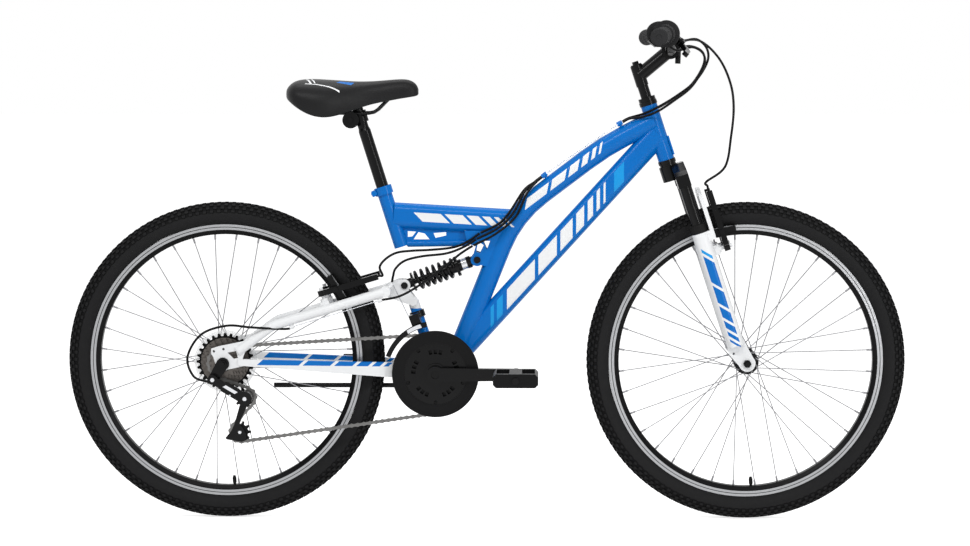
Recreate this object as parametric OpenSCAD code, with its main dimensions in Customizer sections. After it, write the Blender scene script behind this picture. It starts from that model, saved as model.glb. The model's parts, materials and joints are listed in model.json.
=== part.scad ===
// Full suspension mountain bike, built as an assembly of separate pieces.
// Millimetres. +X is forwards, +Z is up and +Y is the rider's left.
// The origin lies on the ground, midway between the two axles.

/* [Wheels] */
// Distance between the two axles
wheelbase = 1071; // [1040:1:1110]
// Radius over the tread
tyre_r = 328; // [322:1:334]
// Width of the tyre
tyre_w = 50; // [46:1:52]
// Thickness of the tyre carcass
tyre_wall = 4; // [3:0.5:5]
// Height of the tyre over the rim's outer edge
tyre_h = 46; // [44:1:48]
// Radial depth of the rim
rim_depth = 21; // [18:1:24]
// Width of the rim over its brake tracks
rim_w = 26; // [24:1:28]
// Wall of the rim channel
rim_wall = 2.2; // [1.8:0.1:3]
// Number of spokes in each wheel
spoke_count = 36; // [28:4:36]
// Diameter of a spoke
spoke_d = 2; // [1.8:0.1:2.3]
// Radius of the spoke holes in the hub flanges
flange_pitch_r = 21; // [19:0.5:23]
// Radius of the hub shells
hub_r = 15; // [13:0.5:16]
// Diameter of the front axle
front_axle_d = 9; // [8:0.5:10]
// Diameter of the rear axle
rear_axle_d = 10; // [9:0.5:11]
// Width between the fork ends
front_spacing = 100; // [98:1:104]
// Width between the rear dropouts
rear_spacing = 135; // [133:1:139]

/* [Main frame] */
// Angle of the steering axis from the vertical
head_tilt = 18; // [17:0.5:19]
// Length of the head tube
head_len = 118; // [112:1:124]
// Outer diameter of the head tube
head_d = 34; // [33:0.5:38]
// Outer diameter of the steerer
steerer_d = 25.4; // [25:0.1:26]
// Outer diameter of the curved main tube
main_tube_d = 43; // [40:1:46]
// Width of the down tube
down_tube_w = 36; // [34:1:40]
// Depth of the down tube
down_tube_h = 49; // [46:1:52]
// Width of the upper beam
beam_w = 33; // [30:1:36]
// Depth of the upper beam
beam_h = 53; // [50:1:56]
// Wall of the frame tubes
frame_wall = 1.8; // [1.4:0.1:2.4]
// Angle of the seat tube from the vertical
seat_tilt = 17.5; // [16.5:0.5:18.5]
// Length of the seat tube
seat_tube_len = 130; // [124:1:136]
// Outer diameter of the seat tube
seat_tube_d = 30; // [29.4:0.1:32]
// Diameter of the seatpost
seatpost_d = 25.4; // [25:0.1:26]
// Diameter of the main pivot axle
pivot_d = 12; // [10:0.5:14]
// Width of the main pivot shell
pivot_shell_w = 58; // [56:0.5:58]

/* [Rear triangle] */
// Distance of the bottom bracket in front of the rear axle
bb_ahead = 434; // [428:1:440]
// Distance of the bottom bracket below the rear axle
bb_drop = 22; // [18:1:26]
// Width of the bottom bracket shell
bb_shell_w = 68; // [68:1:70]
// Outer diameter of the bottom bracket shell
bb_shell_d = 40; // [39:0.5:42]
// Diameter of the bottom bracket spindle
spindle_d = 17; // [16:0.5:18]
// Thickness of the chainstay blades
chainstay_t = 10; // [8:0.5:10]
// Diameter of the seatstays
seatstay_d = 20; // [18:0.5:21]
// Diameter of the strut over the bottom bracket
strut_d = 23; // [22:0.5:25]
// Thickness of the dropout plates
dropout_t = 5; // [4:0.5:6]

/* [Fork] */
// Distance from the axle to the bottom of the head tube along the steering axis
fork_length = 444.5; // [440:0.5:450]
// Distance of the axle in front of the steering axis
fork_offset = 28.5; // [26:0.5:31]
// Distance of the legs in front of the steering axis
leg_offset = 18; // [16:0.5:20]
// Distance between the two legs
leg_spacing = 116; // [114:1:120]
// Diameter of the upper legs
stanchion_d = 25.4; // [25:0.1:28]
// Diameter of the lower legs
leg_d = 35; // [34:0.5:37]

/* [Shock] */
// Mean diameter of the shock's spring
spring_d = 36; // [34:0.5:38]
// Diameter of the spring's wire
spring_wire = 6.8; // [6:0.2:7.2]
// Turns of the shock's spring
spring_turns = 6.5; // [5.5:0.5:7]
// Diameter of the shock's body
shock_d = 25; // [23:0.5:26]
// Diameter of the shock's shaft
shock_shaft_d = 12; // [10:0.5:13]
// Diameter of the shock's bolts
shock_bolt_d = 8; // [7:0.5:9]

/* [Cockpit and seat] */
// Distance of the handlebar clamp in front of the steering axis
stem_reach = 75; // [70:1:80]
// Height of the handlebar clamp over the bottom of the head tube
stem_rise = 211; // [206:1:216]
// Diameter of the stem's quill
quill_d = 22.2; // [22:0.1:22.6]
// Diameter of the handlebar
bar_d = 22.2; // [21.8:0.1:22.6]
// Diameter of the handlebar in the stem
bar_clamp_d = 25.4; // [25:0.1:26]
// Half the width of the handlebar
bar_half_w = 315; // [310:1:325]
// Diameter of the fixed grips
grip_d = 33; // [31:0.5:34]
// Diameter of the twist shifters
twist_d = 39; // [37:0.5:40]
// Diameter of the flange on the twist shifters
twist_flange_d = 54; // [52:0.5:55]
// Length of the saddle
saddle_len = 270; // [260:1:280]
// Width of the saddle
saddle_w = 164; // [150:1:175]

/* [Drivetrain] */
// Pitch of the chain
chain_pitch = 12.7; // [12.6:0.1:12.8]
// Teeth of the largest chainring
ring_teeth = 40; // [38:2:40]
// Length of the crank arms
crank_len = 165; // [160:1:170]
// Length of the pedals
pedal_len = 91; // [86:1:95]
// Width of the pedals
pedal_w = 94; // [90:1:98]
// Height of the pedals
pedal_h = 28; // [26:1:30]
// Radius of the chain guard
guard_r = 89; // [88.5:0.5:90]

/* [Hidden] */
$fn = 48;
rim_r = tyre_r - tyre_h;

// Clearances
run_gap = 0.05;   // radial gap of a shaft that turns or slides in its bore
free_gap = 0.3;   // gap between pieces that move past each other
side_gap = 0.5;   // gap beside a piece that turns between two others

// Main points
front_axle_pos = [wheelbase / 2, 0, tyre_r];
rear_axle_pos = [-wheelbase / 2, 0, tyre_r];
bb_pos = rear_axle_pos + [bb_ahead, 0, -bb_drop];
pivot_pos = bb_pos + [45, 0, 38];
steer_pos = front_axle_pos - fork_offset * [cos(head_tilt), 0, sin(head_tilt)]
  + fork_length * [-sin(head_tilt), 0, cos(head_tilt)];
seat_pos = bb_pos + [-71.5, 0, 257];
shock_low = pivot_pos + [-110, 0, 140];
shock_top = pivot_pos + [39.5, 0, 193];
shock_len = norm(shock_top - shock_low);

function unit(v) = v / norm(v);
function mix(a, b, t) = a + (b - a) * t;
function on_steer(p) = steer_pos + p[0] * [cos(head_tilt), 0, sin(head_tilt)] + [0, p[1], 0]
  + p[2] * [-sin(head_tilt), 0, cos(head_tilt)];

// Places the children at a with their Z axis towards b
module between(a, b) {
  d = b - a;
  translate(a) rotate([0, acos(d[2] / norm(d)), atan2(d[1], d[0])]) children();
}

module rod(a, b, r) {
  between(a, b) cylinder(h = norm(b - a), r = r);
}

// Columns of a rotation and a place, as one matrix
function placed(x, y, z, at) = [
  [x[0], y[0], z[0], at[0]], [x[1], y[1], z[1], at[1]], [x[2], y[2], z[2], at[2]], [0, 0, 0, 1]];

// Points along straight runs, with a bend of its own radius at each inner point
bend_step = 8;
joint_bulge = 0.1;
function bend_arc(a, p, b, r, step) =
  let (d = unit(p - a), e = unit(b - p), turn = acos(d * e), inward = unit(e - d * (d * e)),
    k = ceil(turn / step),
    start = p - d * r * tan(turn / 2), centre = start + inward * r)
  [for (j = [0:k]) centre + r * (sin(turn * j / k) * d - cos(turn * j / k) * inward)];
function bent_path(pts, bends, step) = [
  pts[0], for (i = [1:len(pts) - 2]) each bend_arc(pts[i - 1], pts[i], pts[i + 1], bends[i - 1], step),
    pts[len(pts) - 1]];

// A round tube along such a path, with a ball at each joint
module bent_tube(pts, bends, r, step = bend_step, bulge = joint_bulge) {
  path = bent_path(pts, bends, step);
  for (i = [0:len(path) - 2]) rod(path[i], path[i + 1], r);
  for (i = [1:len(path) - 2]) translate(path[i]) sphere(r + bulge);
}

// A flat sided oval, r wide each way from its middle line
module oval(r, straight) {
  translate([straight / 2, 0]) circle(r);
  translate([-straight / 2, 0]) circle(r);
  square([straight, 2 * r], center = true);
}

// Lays a flat outline, drawn in X and Z, between two values of Y
module slab(y0, y1) {
  translate([0, y1, 0]) rotate([90, 0, 0]) linear_extrude(y1 - y0) children();
}

// Turns the local Z axis to the drive side, which is -Y
module at_axle(p) {
  translate(p) rotate([90, 0, 0]) children();
}

module on_fork() {
  translate(steer_pos) rotate([0, -head_tilt, 0]) children();
}

module on_seat() {
  translate(seat_pos) rotate([0, -seat_tilt, 0]) children();
}

module on_left(yes) {
  if (yes) children();
  else mirror([0, 1, 0]) children();
}

module on_both() {
  children();
  mirror([0, 1, 0]) children();
}

// A ring about the Z axis
module ring(h, r_out, r_in) {
  rotate_extrude() translate([r_in, 0]) square([r_out - r_in, h]);
}

// Swept tubes for the cables
function tangents(p) = [for (i = [0:len(p) - 1]) unit(p[min(i + 1, len(p) - 1)] - p[max(i - 1, 0)])];
function carried(t, n) = unit(n - t * (n * t));
function normals(t, n, i = 0) = i >= len(t) ? [] :
  let (m = carried(t[i], n)) concat([m], normals(t, m, i + 1));
function knot(p, i) = p[max(0, min(len(p) - 1, i))];
function curve_at(p, i, t) =
  let (a = knot(p, i - 1), b = knot(p, i), c = knot(p, i + 1), d = knot(p, i + 2))
  0.5 * (2 * b + (c - a) * t + (2 * a - 5 * b + 4 * c - d) * t * t
    + (3 * b - a - 3 * c + d) * t * t * t);
function curve(p, k) = [for (i = [0:len(p) - 2], j = [0:k - 1]) curve_at(p, i, j / k), p[len(p) - 1]];

module swept(p, r, sides = 8) {
  t = tangents(p);
  start = abs(t[0][1]) < 0.9 ? [0, 1, 0] : [0, 0, 1];
  n = normals(t, start);
  rings = len(p);
  pts = [for (i = [0:rings - 1], j = [0:sides - 1])
    let (a = 360 * j / sides) p[i] + r * (cos(a) * n[i] + sin(a) * cross(t[i], n[i]))];
  walls = [for (i = [0:rings - 2], j = [0:sides - 1])
    let (k = (j + 1) % sides, b = i * sides, c = b + sides)
    each [[b + j, c + j, c + k], [b + j, c + k, b + k]]];
  first = [for (j = [1:sides - 2]) [0, j, j + 1]];
  last = [for (j = [1:sides - 2]) let (b = (rings - 1) * sides) [b, b + j + 1, b + j]];
  polyhedron(points = pts, faces = concat(walls, first, last));
}

// Main frame
head_bore_r = head_d / 2 - 2;
steerer_r = steerer_d / 2;
seatpost_r = seatpost_d / 2;
pivot_r = pivot_d / 2;
pivot_shell_r = 22;
main_tube_pts = [
  on_steer([0, 0, 84]), pivot_pos + [300.5, 0, 425], pivot_pos + [115, 0, 285], pivot_pos];
main_tube_bends = [600, 250];
down_tube_top = on_steer([0, 0, 56]);
beam_rear = seat_pos + [-15, 0, 65];
beam_front = pivot_pos + [108, 0, 270];
low_bar_r = 7;
low_bar_rear = seat_pos + [8, 0, 6];
low_bar_front = seat_pos + [140, 0, 8];
shock_plate_t = 4;
shock_eye_w = 26;
shock_eye_r = 12;
stop_r = 4;
stop_len = 12;

module frame_tubes(inset) {
  bent_tube(main_tube_pts, main_tube_bends, main_tube_d / 2 - inset);
  between(pivot_pos, down_tube_top) linear_extrude(norm(down_tube_top - pivot_pos))
    oval(down_tube_w / 2 - inset, down_tube_h - down_tube_w);
  between(beam_rear, beam_front) linear_extrude(norm(beam_front - beam_rear))
    oval(beam_w / 2 - inset, beam_h - beam_w);
}

// Thin web under the beam, with its windows
module truss_web() {
  a = low_bar_rear;
  b = low_bar_front;
  top = 32;
  slab(-3, 3) difference() {
    polygon([[a[0], a[2]], [b[0], b[2]], [b[0] + 26, b[2] + top], [a[0] - 6, a[2] + top]]);
    polygon([[a[0] + 5, a[2] + 14], [a[0] + 14, a[2] + 15], [a[0] + 22, a[2] + 25], [a[0] + 5,
      a[2] + 26]]);
    polygon([[a[0] + 17, a[2] + 9], [a[0] + 50, a[2] + 9], [a[0] + 40, a[2] + 21], [a[0] + 27,
      a[2] + 24]]);
    polygon([[a[0] + 62, a[2] + 12], [a[0] + 84, a[2] + 17], [a[0] + 84, a[2] + 24], [a[0] + 58,
      a[2] + 22]]);
  }
}

// Cheek plate that holds the shock's upper eye, with two windows
module shock_cheek() {
  e = [shock_top[0], shock_top[2]];
  difference() {
    union() {
      translate(e) circle(shock_eye_r + 1);
      polygon([e + [-12, -4], e + [8, -11], e + [22, -14], e + [54, 60], e + [-26, 60], e + [-20,
        34], e + [-3, 28]]);
    }
    polygon([e + [-2, 17], e + [6, 14], e + [14, 30], e + [2, 38]]);
    polygon([e + [20, 21], e + [27, 39], e + [12, 39]]);
    translate(e) circle(shock_bolt_d / 2 + run_gap);
  }
}

// Cable stops on the main tube, each turned about the tube by its own angle
cable_turns = [-18, 0, 18];
cable_lift = main_tube_d / 2 + 7;
front_stop_t = 0.62;
rear_stop_t = 0.6;
function tube_dir(i) = unit(main_tube_pts[i] - main_tube_pts[i + 1]);
function tube_out(i, a) = cos(a) * [-tube_dir(i)[2], 0, tube_dir(i)[0]] + [0, sin(a), 0];
function tube_spot(i, t, a) = mix(main_tube_pts[i], main_tube_pts[i + 1],
  t) + cable_lift * tube_out(i, a);

module cable_stop(i, t, a) {
  p = tube_spot(i, t, a);
  mid = p + tube_dir(i) * stop_len / 2;
  rod(p, p + tube_dir(i) * stop_len, stop_r);
  rod(mid - tube_out(i, a) * 9, mid, stop_r - 1);
}

module main_frame() {
  color("royalblue") difference() {
    union() {
      difference() {
        frame_tubes(0);
        frame_tubes(frame_wall);
      }
      on_fork() {
        cylinder(h = head_len, r = head_d / 2);
        translate([head_d / 2 - 1, -9, 6]) cube([3.5, 18, 40]);
      }
      on_seat() cylinder(h = seat_tube_len, r = seat_tube_d / 2);
      at_axle(pivot_pos) translate([0, 0, -pivot_shell_w / 2]) cylinder(h = pivot_shell_w,
        r = pivot_shell_r);
      rod(low_bar_rear, low_bar_front, low_bar_r);
      truss_web();
      for (s = [-1, 1])
        slab(s * (shock_eye_w / 2 + side_gap + shock_plate_t / 2) - shock_plate_t / 2,
          s * (shock_eye_w / 2 + side_gap + shock_plate_t / 2) + shock_plate_t / 2) shock_cheek();
      for (a = cable_turns) {
        cable_stop(0, front_stop_t, a);
        cable_stop(1, rear_stop_t, a);
      }
    }
    on_fork() translate([0, 0, -1]) cylinder(h = head_len + 2, r = head_bore_r);
    on_seat() translate([0, 0, -20]) cylinder(h = seat_tube_len + 40, r = seatpost_r + run_gap);
    at_axle(pivot_pos) translate([0, 0, -pivot_shell_w]) cylinder(h = 2 * pivot_shell_w, r = pivot_r);
  }
}

ear_in = pivot_shell_w / 2 + side_gap;
ear_out = bb_shell_w / 2;
pivot_head_t = 4;

module pivot_axle() {
  half = ear_out + free_gap;
  color("dimgray") at_axle(pivot_pos) {
    translate([0, 0, -half]) cylinder(h = 2 * half, r = pivot_r);
    for (s = [-1, 1])
      translate([0, 0, s > 0 ? half : -half - pivot_head_t]) cylinder(h = pivot_head_t, r = 10, $fn = 6);
  }
}

cup_h = 8;
cup_skirt = 10;
cup_r = 18.5;

module headset_cup() {
  difference() {
    union() {
      translate([0, 0, -cup_h]) cylinder(h = cup_h, r = cup_r);
      cylinder(h = cup_skirt, r = head_bore_r);
    }
    translate([0, 0, -cup_h - 1]) cylinder(h = cup_h + cup_skirt + 2, r = steerer_r + run_gap);
  }
}

module headset_cups() {
  color("black") on_fork() {
    headset_cup();
    translate([0, 0, head_len]) mirror([0, 0, 1]) headset_cup();
  }
}

collar_h = 17;
collar_wall = 3.5;

module seat_clamp() {
  r = seat_tube_d / 2;
  color("royalblue") on_seat() translate([0, 0, seat_tube_len - collar_h]) {
    ring(collar_h, r + collar_wall, r);
    difference() {
      translate([-r - 10, -9, 2]) cube([10, 18, collar_h - 5]);
      translate([0, 0, -1]) cylinder(h = collar_h + 2, r = r);
      translate([-r - 5, 0, collar_h / 2]) rotate([90, 0, 0]) cylinder(h = 40, r = 3, center = true);
    }
  }
  color("black") on_seat() translate([-r - 5, 0, seat_tube_len - collar_h / 2]) rotate([90, 0, 0]) {
    cylinder(h = 26, r = 3, center = true);
    for (s = [-1, 1]) translate([0, 0, s * 11.5]) cylinder(h = 5, r = 6, center = true);
  }
}

// Fork, stem and bars
crown_x = leg_offset;
leg_y = leg_spacing / 2;
stanchion_r = stanchion_d / 2;
crown_top = -cup_h - free_gap;
crown_low = -61;
stanchion_end = -250;
stanchion_top = -33;
stanchion_wall = 2;
seal_top = -142;
leg_top = -160;
leg_low = -402;
locknut_z = head_len + cup_h + free_gap;
locknut_h = 8;

module crown_outline() {
  y = leg_y;
  polygon([
    [-y - 17, -36], [-y - 4, -28], [-22, -13], [22, -13], [y + 4, -28], [y + 17, -36],
    [y + 17, crown_low], [y - 17, crown_low], [y - 20, -52], [24, -44], [-24, -44], [20 - y, -52],
    [17 - y, crown_low], [-y - 17, crown_low]]);
}

module fork_steerer() {
  color("black") on_fork() {
    difference() {
      union() {
        translate([0, 0, -40]) cylinder(h = locknut_z + locknut_h + 40, r = steerer_r);
        translate([0, 0, -44]) cylinder(h = 44 + crown_top - 4, r = 20);
        translate([0, 0, crown_top - 4]) cylinder(h = 4, r = 17);
        translate([crown_x - 14, 0, 0]) rotate([90, 0, 90]) linear_extrude(27) crown_outline();
      }
      translate([0, 0, -60]) cylinder(h = 300, r = quill_d / 2);
      for (s = [-1, 1])
        translate([crown_x, s * leg_y, crown_low - 1]) cylinder(h = stanchion_top - crown_low + 1,
          r = stanchion_r);
    }
    translate([0, 0, locknut_z]) ring(locknut_h, 17.5, steerer_r);
  }
}

module stanchions() {
  color("black") on_fork() for (s = [-1, 1]) translate([crown_x, s * leg_y, stanchion_end])
    ring(stanchion_top - stanchion_end, stanchion_r, stanchion_r - stanchion_wall);
}

// A wound spring along Z, whose two ends run straight for one wire diameter
function coil_points(length, r, wire, turns) =
  let (n = turns * 8, rise = length - 2 * wire)
  concat([[r, 0, 0]], [for (i = [0:n]) [r * cos(45 * i), r * sin(45 * i), wire + rise * i / n]],
    [[r * cos(45 * n), r * sin(45 * n), length]]);
function self_gap(p, wire) =
  min([for (i = [0:len(p) - 5], j = [i + 4:len(p) - 1]) norm(p[i] - p[j])]) - wire;

module coil(length, r, wire, turns) {
  p = coil_points(length, r, wire, turns);
  echo(least_gap = self_gap(p, wire));
  swept(p, wire / 2, 6);
}

fork_wire = 2.6;
fork_turns = 14;
fork_spring_low = -239;
plunger_t = 4;

module fork_springs() {
  r = stanchion_r - stanchion_wall - side_gap - fork_wire / 2;
  color("silver") on_fork() for (s = [-1, 1])
    translate([crown_x, s * leg_y, fork_spring_low]) coil(stanchion_top - fork_spring_low, r,
      fork_wire, fork_turns);
}

quill_top = 205;
stem_root = 181;
stem_arm_r = 14;
stem_clamp_w = 46;

module stem() {
  clamp = [stem_reach, 0, stem_rise];
  color("black") on_fork() difference() {
    union() {
      translate([0, 0, 50]) cylinder(h = quill_top - 50, r = quill_d / 2);
      translate([0, 0, stem_root - 22]) cylinder(h = quill_top - stem_root + 20, r = quill_d / 2 + 1.5);
      translate([0, 0, quill_top]) cylinder(h = 6, r = 6.5, $fn = 6);
      rod([0, 0, stem_root], clamp, stem_arm_r);
      translate(clamp) rotate([90, 0, 0]) cylinder(h = stem_clamp_w, r = bar_clamp_d / 2 + 5.5,
        center = true);
      for (y = [-14, 14]) translate(clamp + [12, y, -17]) rotate([0, 20, 0]) cylinder(h = 30,
        r = 5, center = true);
    }
    translate(clamp) rotate([90, 0, 0]) cylinder(h = stem_clamp_w + 2, r = bar_clamp_d / 2,
      center = true);
  }
}

bar_r = bar_d / 2;
bar_knee = [stem_reach, 40, stem_rise];
bar_bend = [stem_reach + 5, 105, stem_rise + 36];
bar_end = [stem_reach - 25.7, bar_half_w, stem_rise + 36];
bar_run = norm(bar_end - bar_bend);
bar_dir = unit(bar_end - bar_bend);
lever_aim = carried(bar_dir, [0.534, 0, -0.847]);
function right(p) = [p[0], -p[1], p[2]];

module handlebar() {
  bar_points = [right(bar_end), right(bar_bend), right(bar_knee), bar_knee, bar_bend, bar_end];
  color("black") on_fork() {
    bent_tube(bar_points, [40, 30, 30, 40], bar_r, 2 * bend_step, 3 * joint_bulge);
    translate([stem_reach, 0, stem_rise]) rotate([90, 0, 0]) cylinder(h = 60, r = bar_clamp_d / 2,
      center = true);
  }
}

// Frame of one bar end: Z runs out along the bar and X points to the brake lever
module on_bar(left) {
  on_fork() on_left(left)
    multmatrix(placed(lever_aim, cross(bar_dir, lever_aim), bar_dir, bar_bend)) children();
}

perch_z = 22;
perch_w = 20;
housing_z = 44;
housing_w = 17;
twist_z = housing_z + housing_w + side_gap;
twist_w = 58;
grip_z = twist_z + twist_w + side_gap;
lever_pivot = [30, 0, perch_z + 6];
lever_t = 9;

module grip_profile(length, r, bore, ribs) {
  step = length / ribs;
  rotate_extrude() {
    translate([bore, 0]) square([r - 1.2 - bore, length]);
    for (i = [0:ribs - 1]) translate([r - 1.5, i * step + step * 0.2]) square([1.5, step * 0.6]);
  }
}

module grips() {
  length = bar_run - grip_z;
  color("dimgray") for (left = [false, true]) on_bar(left) {
    translate([0, 0, grip_z]) grip_profile(length, grip_d / 2, bar_r, 12);
    translate([0, 0, bar_run]) cylinder(h = 3, r = grip_d / 2);
  }
}

module twist_grip(left) {
  color("dimgray") on_bar(left) translate([0, 0, twist_z]) {
    grip_profile(twist_w, twist_d / 2, bar_r + run_gap, 9);
    ring(9, twist_flange_d / 2, bar_r + run_gap);
  }
}

module twist_grip_right() { twist_grip(false); }
module twist_grip_left() { twist_grip(true); }

module bar_clamps() {
  color("black") for (left = [false, true]) on_bar(left) {
    difference() {
      union() {
        translate([0, 0, perch_z - perch_w / 2]) cylinder(h = perch_w, r = bar_r + 4);
        translate([8, -9, perch_z - perch_w / 2]) cube([30, 18, perch_w + 8]);
        translate([30, 0, perch_z - perch_w / 2 - 14]) cylinder(h = 15, r = 4.5);
      }
      translate([0, 0, perch_z - 30]) cylinder(h = 60, r = bar_r);
      translate([18, -lever_t / 2 - free_gap, perch_z - 4]) cube([40, lever_t + 2 * free_gap, 40]);
    }
    translate(lever_pivot) rotate([90, 0, 0]) cylinder(h = 22, r = 3, center = true);
    difference() {
      union() {
        translate([0, 0, housing_z]) cylinder(h = housing_w, r = 20);
        translate([-10, 12, housing_z + 1]) cube([20, 16, housing_w - 2]);
      }
      translate([0, 0, housing_z - 1]) cylinder(h = housing_w + 2, r = bar_r);
    }
  }
}

// Blade outline in the plane of the bar and the lever's reach
module lever_outline() {
  difference() {
    union() {
      translate([lever_pivot[0], lever_pivot[2]]) circle(8);
      polygon([[24, 24], [36, 21], [52, 40], [60, 70], [62, 126], [52, 126], [50, 74], [43, 48],
        [31, 36]]);
      translate([57, 126]) circle(6);
    }
    translate([lever_pivot[0], lever_pivot[2]]) circle(3 + run_gap);
  }
}

module brake_lever(left) {
  color("black") on_bar(left) rotate([90, 0, 0]) translate([0, 0, -lever_t / 2])
    linear_extrude(lever_t) lever_outline();
}

module brake_lever_right() { brake_lever(false); }
module brake_lever_left() { brake_lever(true); }

// Fork lowers, front axle and brake posts
axle_local = [fork_offset, 0, -fork_length];
tip_in = front_spacing / 2;
tip_t = 6;
leg_floor = leg_low + 60;
post_z = -204;
post_y = 42;
post_r = 4;
post_from = 34;
arm_gap_x = 56;
arm_t = 12;
arch_x = 38;

module fork_tip() {
  slab(tip_in, tip_in + tip_t) difference() {
    union() {
      translate([axle_local[0], axle_local[2]]) circle(17);
      polygon([[axle_local[0] - 30, leg_low - 12], [axle_local[0] - 26, leg_low + 25],
        [axle_local[0] + 4, leg_low + 25], [axle_local[0] + 16, axle_local[2] + 4],
        [axle_local[0] - 14, axle_local[2] - 8]]);
    }
    translate([axle_local[0], axle_local[2]]) circle(front_axle_d / 2 + run_gap);
    translate([axle_local[0] - 20, leg_low - 15]) circle(2.6);
  }
}

module fork_leg() {
  difference() {
    union() {
      translate([crown_x, leg_y, leg_low]) cylinder(h = leg_top - leg_low, r = leg_d / 2);
      fork_tip();
      translate([crown_x - 2, post_y - 8, post_z - 10]) cube([post_from + 14 - crown_x,
        leg_y - post_y, 20]);
      translate([post_from, post_y, post_z]) rotate([0, 90, 0]) cylinder(h = 15, r = 8);
      translate([post_from, post_y, post_z]) rotate([0, 90,
        0]) cylinder(h = arm_gap_x + arm_t + 6 - post_from, r = post_r);
      translate([crown_x + 10, leg_y - 11, leg_top - 20]) cube([arch_x - crown_x - 2, 22, 20]);
      translate([arch_x, leg_y - 11, leg_top - 20]) cube([8, 22, 70]);
    }
    translate([crown_x, leg_y, leg_floor]) cylinder(h = leg_top - leg_floor + 1,
      r = stanchion_r + run_gap);
  }
  translate([crown_x, leg_y, leg_floor]) cylinder(h = fork_spring_low - leg_floor - plunger_t, r = 4);
  translate([crown_x, leg_y, fork_spring_low - plunger_t])
    cylinder(h = plunger_t, r = stanchion_r - stanchion_wall - side_gap);
}

module fork_lowers() {
  top = leg_top + 50;
  color("white") on_fork() {
    on_both() fork_leg();
    translate([arch_x, 0, 0]) rotate([90, 0, 90]) linear_extrude(8)
      polygon([[-leg_y - 11, top], [-leg_y + 6, top + 26], [-26, top + 36], [26, top + 36],
        [leg_y - 6, top + 26],
        [leg_y + 11, top], [leg_y - 11, top], [leg_y - 22, top + 12], [20, top + 20], [-20, top + 20],
        [22 - leg_y, top + 12], [11 - leg_y, top]]);
  }
}

module fork_seals() {
  color("black") on_fork() for (s = [-1, 1])
    translate([crown_x, s * leg_y, leg_top]) ring(seal_top - leg_top, leg_d / 2 - 1,
      stanchion_r + run_gap);
}

nut_h = 7;
nut_r_out = 8.5;
axle_tip = 6;

// Axle with its cones inside the fork ends and its nuts outside
module axle_set(p, r, spacing, plate_l, plate_r, cone_l, cone_r) {
  half = spacing / 2;
  nut_l = -half - plate_l - nut_h;
  nut_r = half + plate_r;
  at_axle(p) {
    translate([0, 0, nut_l - axle_tip]) cylinder(h = nut_r + nut_h - nut_l + 2 * axle_tip, r = r);
    for (z = [nut_l, nut_r]) translate([0, 0, z]) cylinder(h = nut_h, r = nut_r_out, $fn = 6);
    translate([0, 0, half - cone_r]) cylinder(h = cone_r, r = 8);
    translate([0, 0, -half]) cylinder(h = cone_l, r = 8);
  }
}

front_hub_half = 44;

module front_axle() {
  color("silver") axle_set(front_axle_pos, front_axle_d / 2, front_spacing, tip_t, tip_t,
    tip_in - front_hub_half - side_gap, tip_in - front_hub_half - side_gap);
}

// Wheels
tread_c = tyre_r - tyre_w / 2;
valve_r = 3;
valve_turn = -87;
bead_gap = 18;

module tyre_section(inset) {
  intersection() {
    translate([tread_c, 0]) circle(tyre_w / 2 - inset);
    translate([rim_r + max(0, inset - tyre_wall), -tyre_w]) square([tyre_w * 2, tyre_w * 2]);
  }
}

module tyre(p) {
  tube_wall = 1;
  color("#202022") at_axle(p) {
    rotate_extrude($fn = 128) difference() {
      tyre_section(0);
      translate([tread_c, 0]) circle(tyre_w / 2 - tyre_wall);
      translate([rim_r - 1, -bead_gap / 2]) square([tyre_wall + 6, bead_gap]);
    }
    rotate_extrude($fn = 128) difference() {
      tyre_section(tyre_wall + free_gap);
      tyre_section(tyre_wall + free_gap + tube_wall);
    }
    rotate([0, 0, valve_turn]) translate([rim_r - 34, 0, 0]) rotate([0, 90, 0]) cylinder(h = 35,
      r = valve_r);
  }
}

module rim_outline() {
  w = rim_w / 2;
  low = rim_r - rim_depth;
  polygon([[low, 0], [low, 8], [low + 7, w], [rim_r, w], [rim_r, w - rim_wall], [low + 8, w - rim_wall],
    [low + rim_wall, 7], [low + rim_wall, -7], [low + 8, rim_wall - w], [rim_r, rim_wall - w],
      [rim_r, -w],
    [low + 7, -w], [low, -8]]);
}

module rim(p) {
  color("silver") at_axle(p) difference() {
    rotate_extrude($fn = 128) rim_outline();
    rotate([0, 0, valve_turn]) translate([rim_r - 40, 0, 0]) rotate([0, 90, 0])
      cylinder(h = 50, r = valve_r + free_gap);
  }
}

// Crossed spokes: odd ones run to the left flange and even ones to the right
module spokes(p, right_z, left_z) {
  rim_end = rim_r - rim_depth + 1;
  color("silver") at_axle(p) for (k = [0:spoke_count - 1]) {
    even = k % 2 == 0;
    lead = floor(k / 2) % 2 == 0 ? 1 : -1;
    rim_a = 360 * (k + 0.5) / spoke_count;
    hub_a = rim_a + lead * 62;
    flange = even ? right_z : -left_z;
    hub_z = flange + lead * 2;
    a = [flange_pitch_r * cos(hub_a), flange_pitch_r * sin(hub_a), hub_z];
    b = [rim_end * cos(rim_a), rim_end * sin(rim_a), even ? 2.5 : -2.5];
    rod(a, b, spoke_d / 2);
    rod(b - unit(b - a) * 12, b, spoke_d / 2 + 1);
  }
}

module hub(p, right_z, left_z, right_end, left_end, axle_r, boss_r) {
  color("#303032") at_axle(p) difference() {
    union() {
      translate([0, 0, -left_end]) cylinder(h = left_end + right_end, r = hub_r - 3);
      translate([0, 0, -left_z]) cylinder(h = left_z + right_z, r = hub_r);
      for (z = [right_z, -left_z]) translate([0, 0, z - 1.5]) cylinder(h = 3, r = flange_pitch_r + 4);
      translate([0, 0, right_z]) cylinder(h = right_end - right_z, r = boss_r);
    }
    translate([0, 0, -200]) cylinder(h = 400, r = axle_r + run_gap);
  }
}

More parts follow.
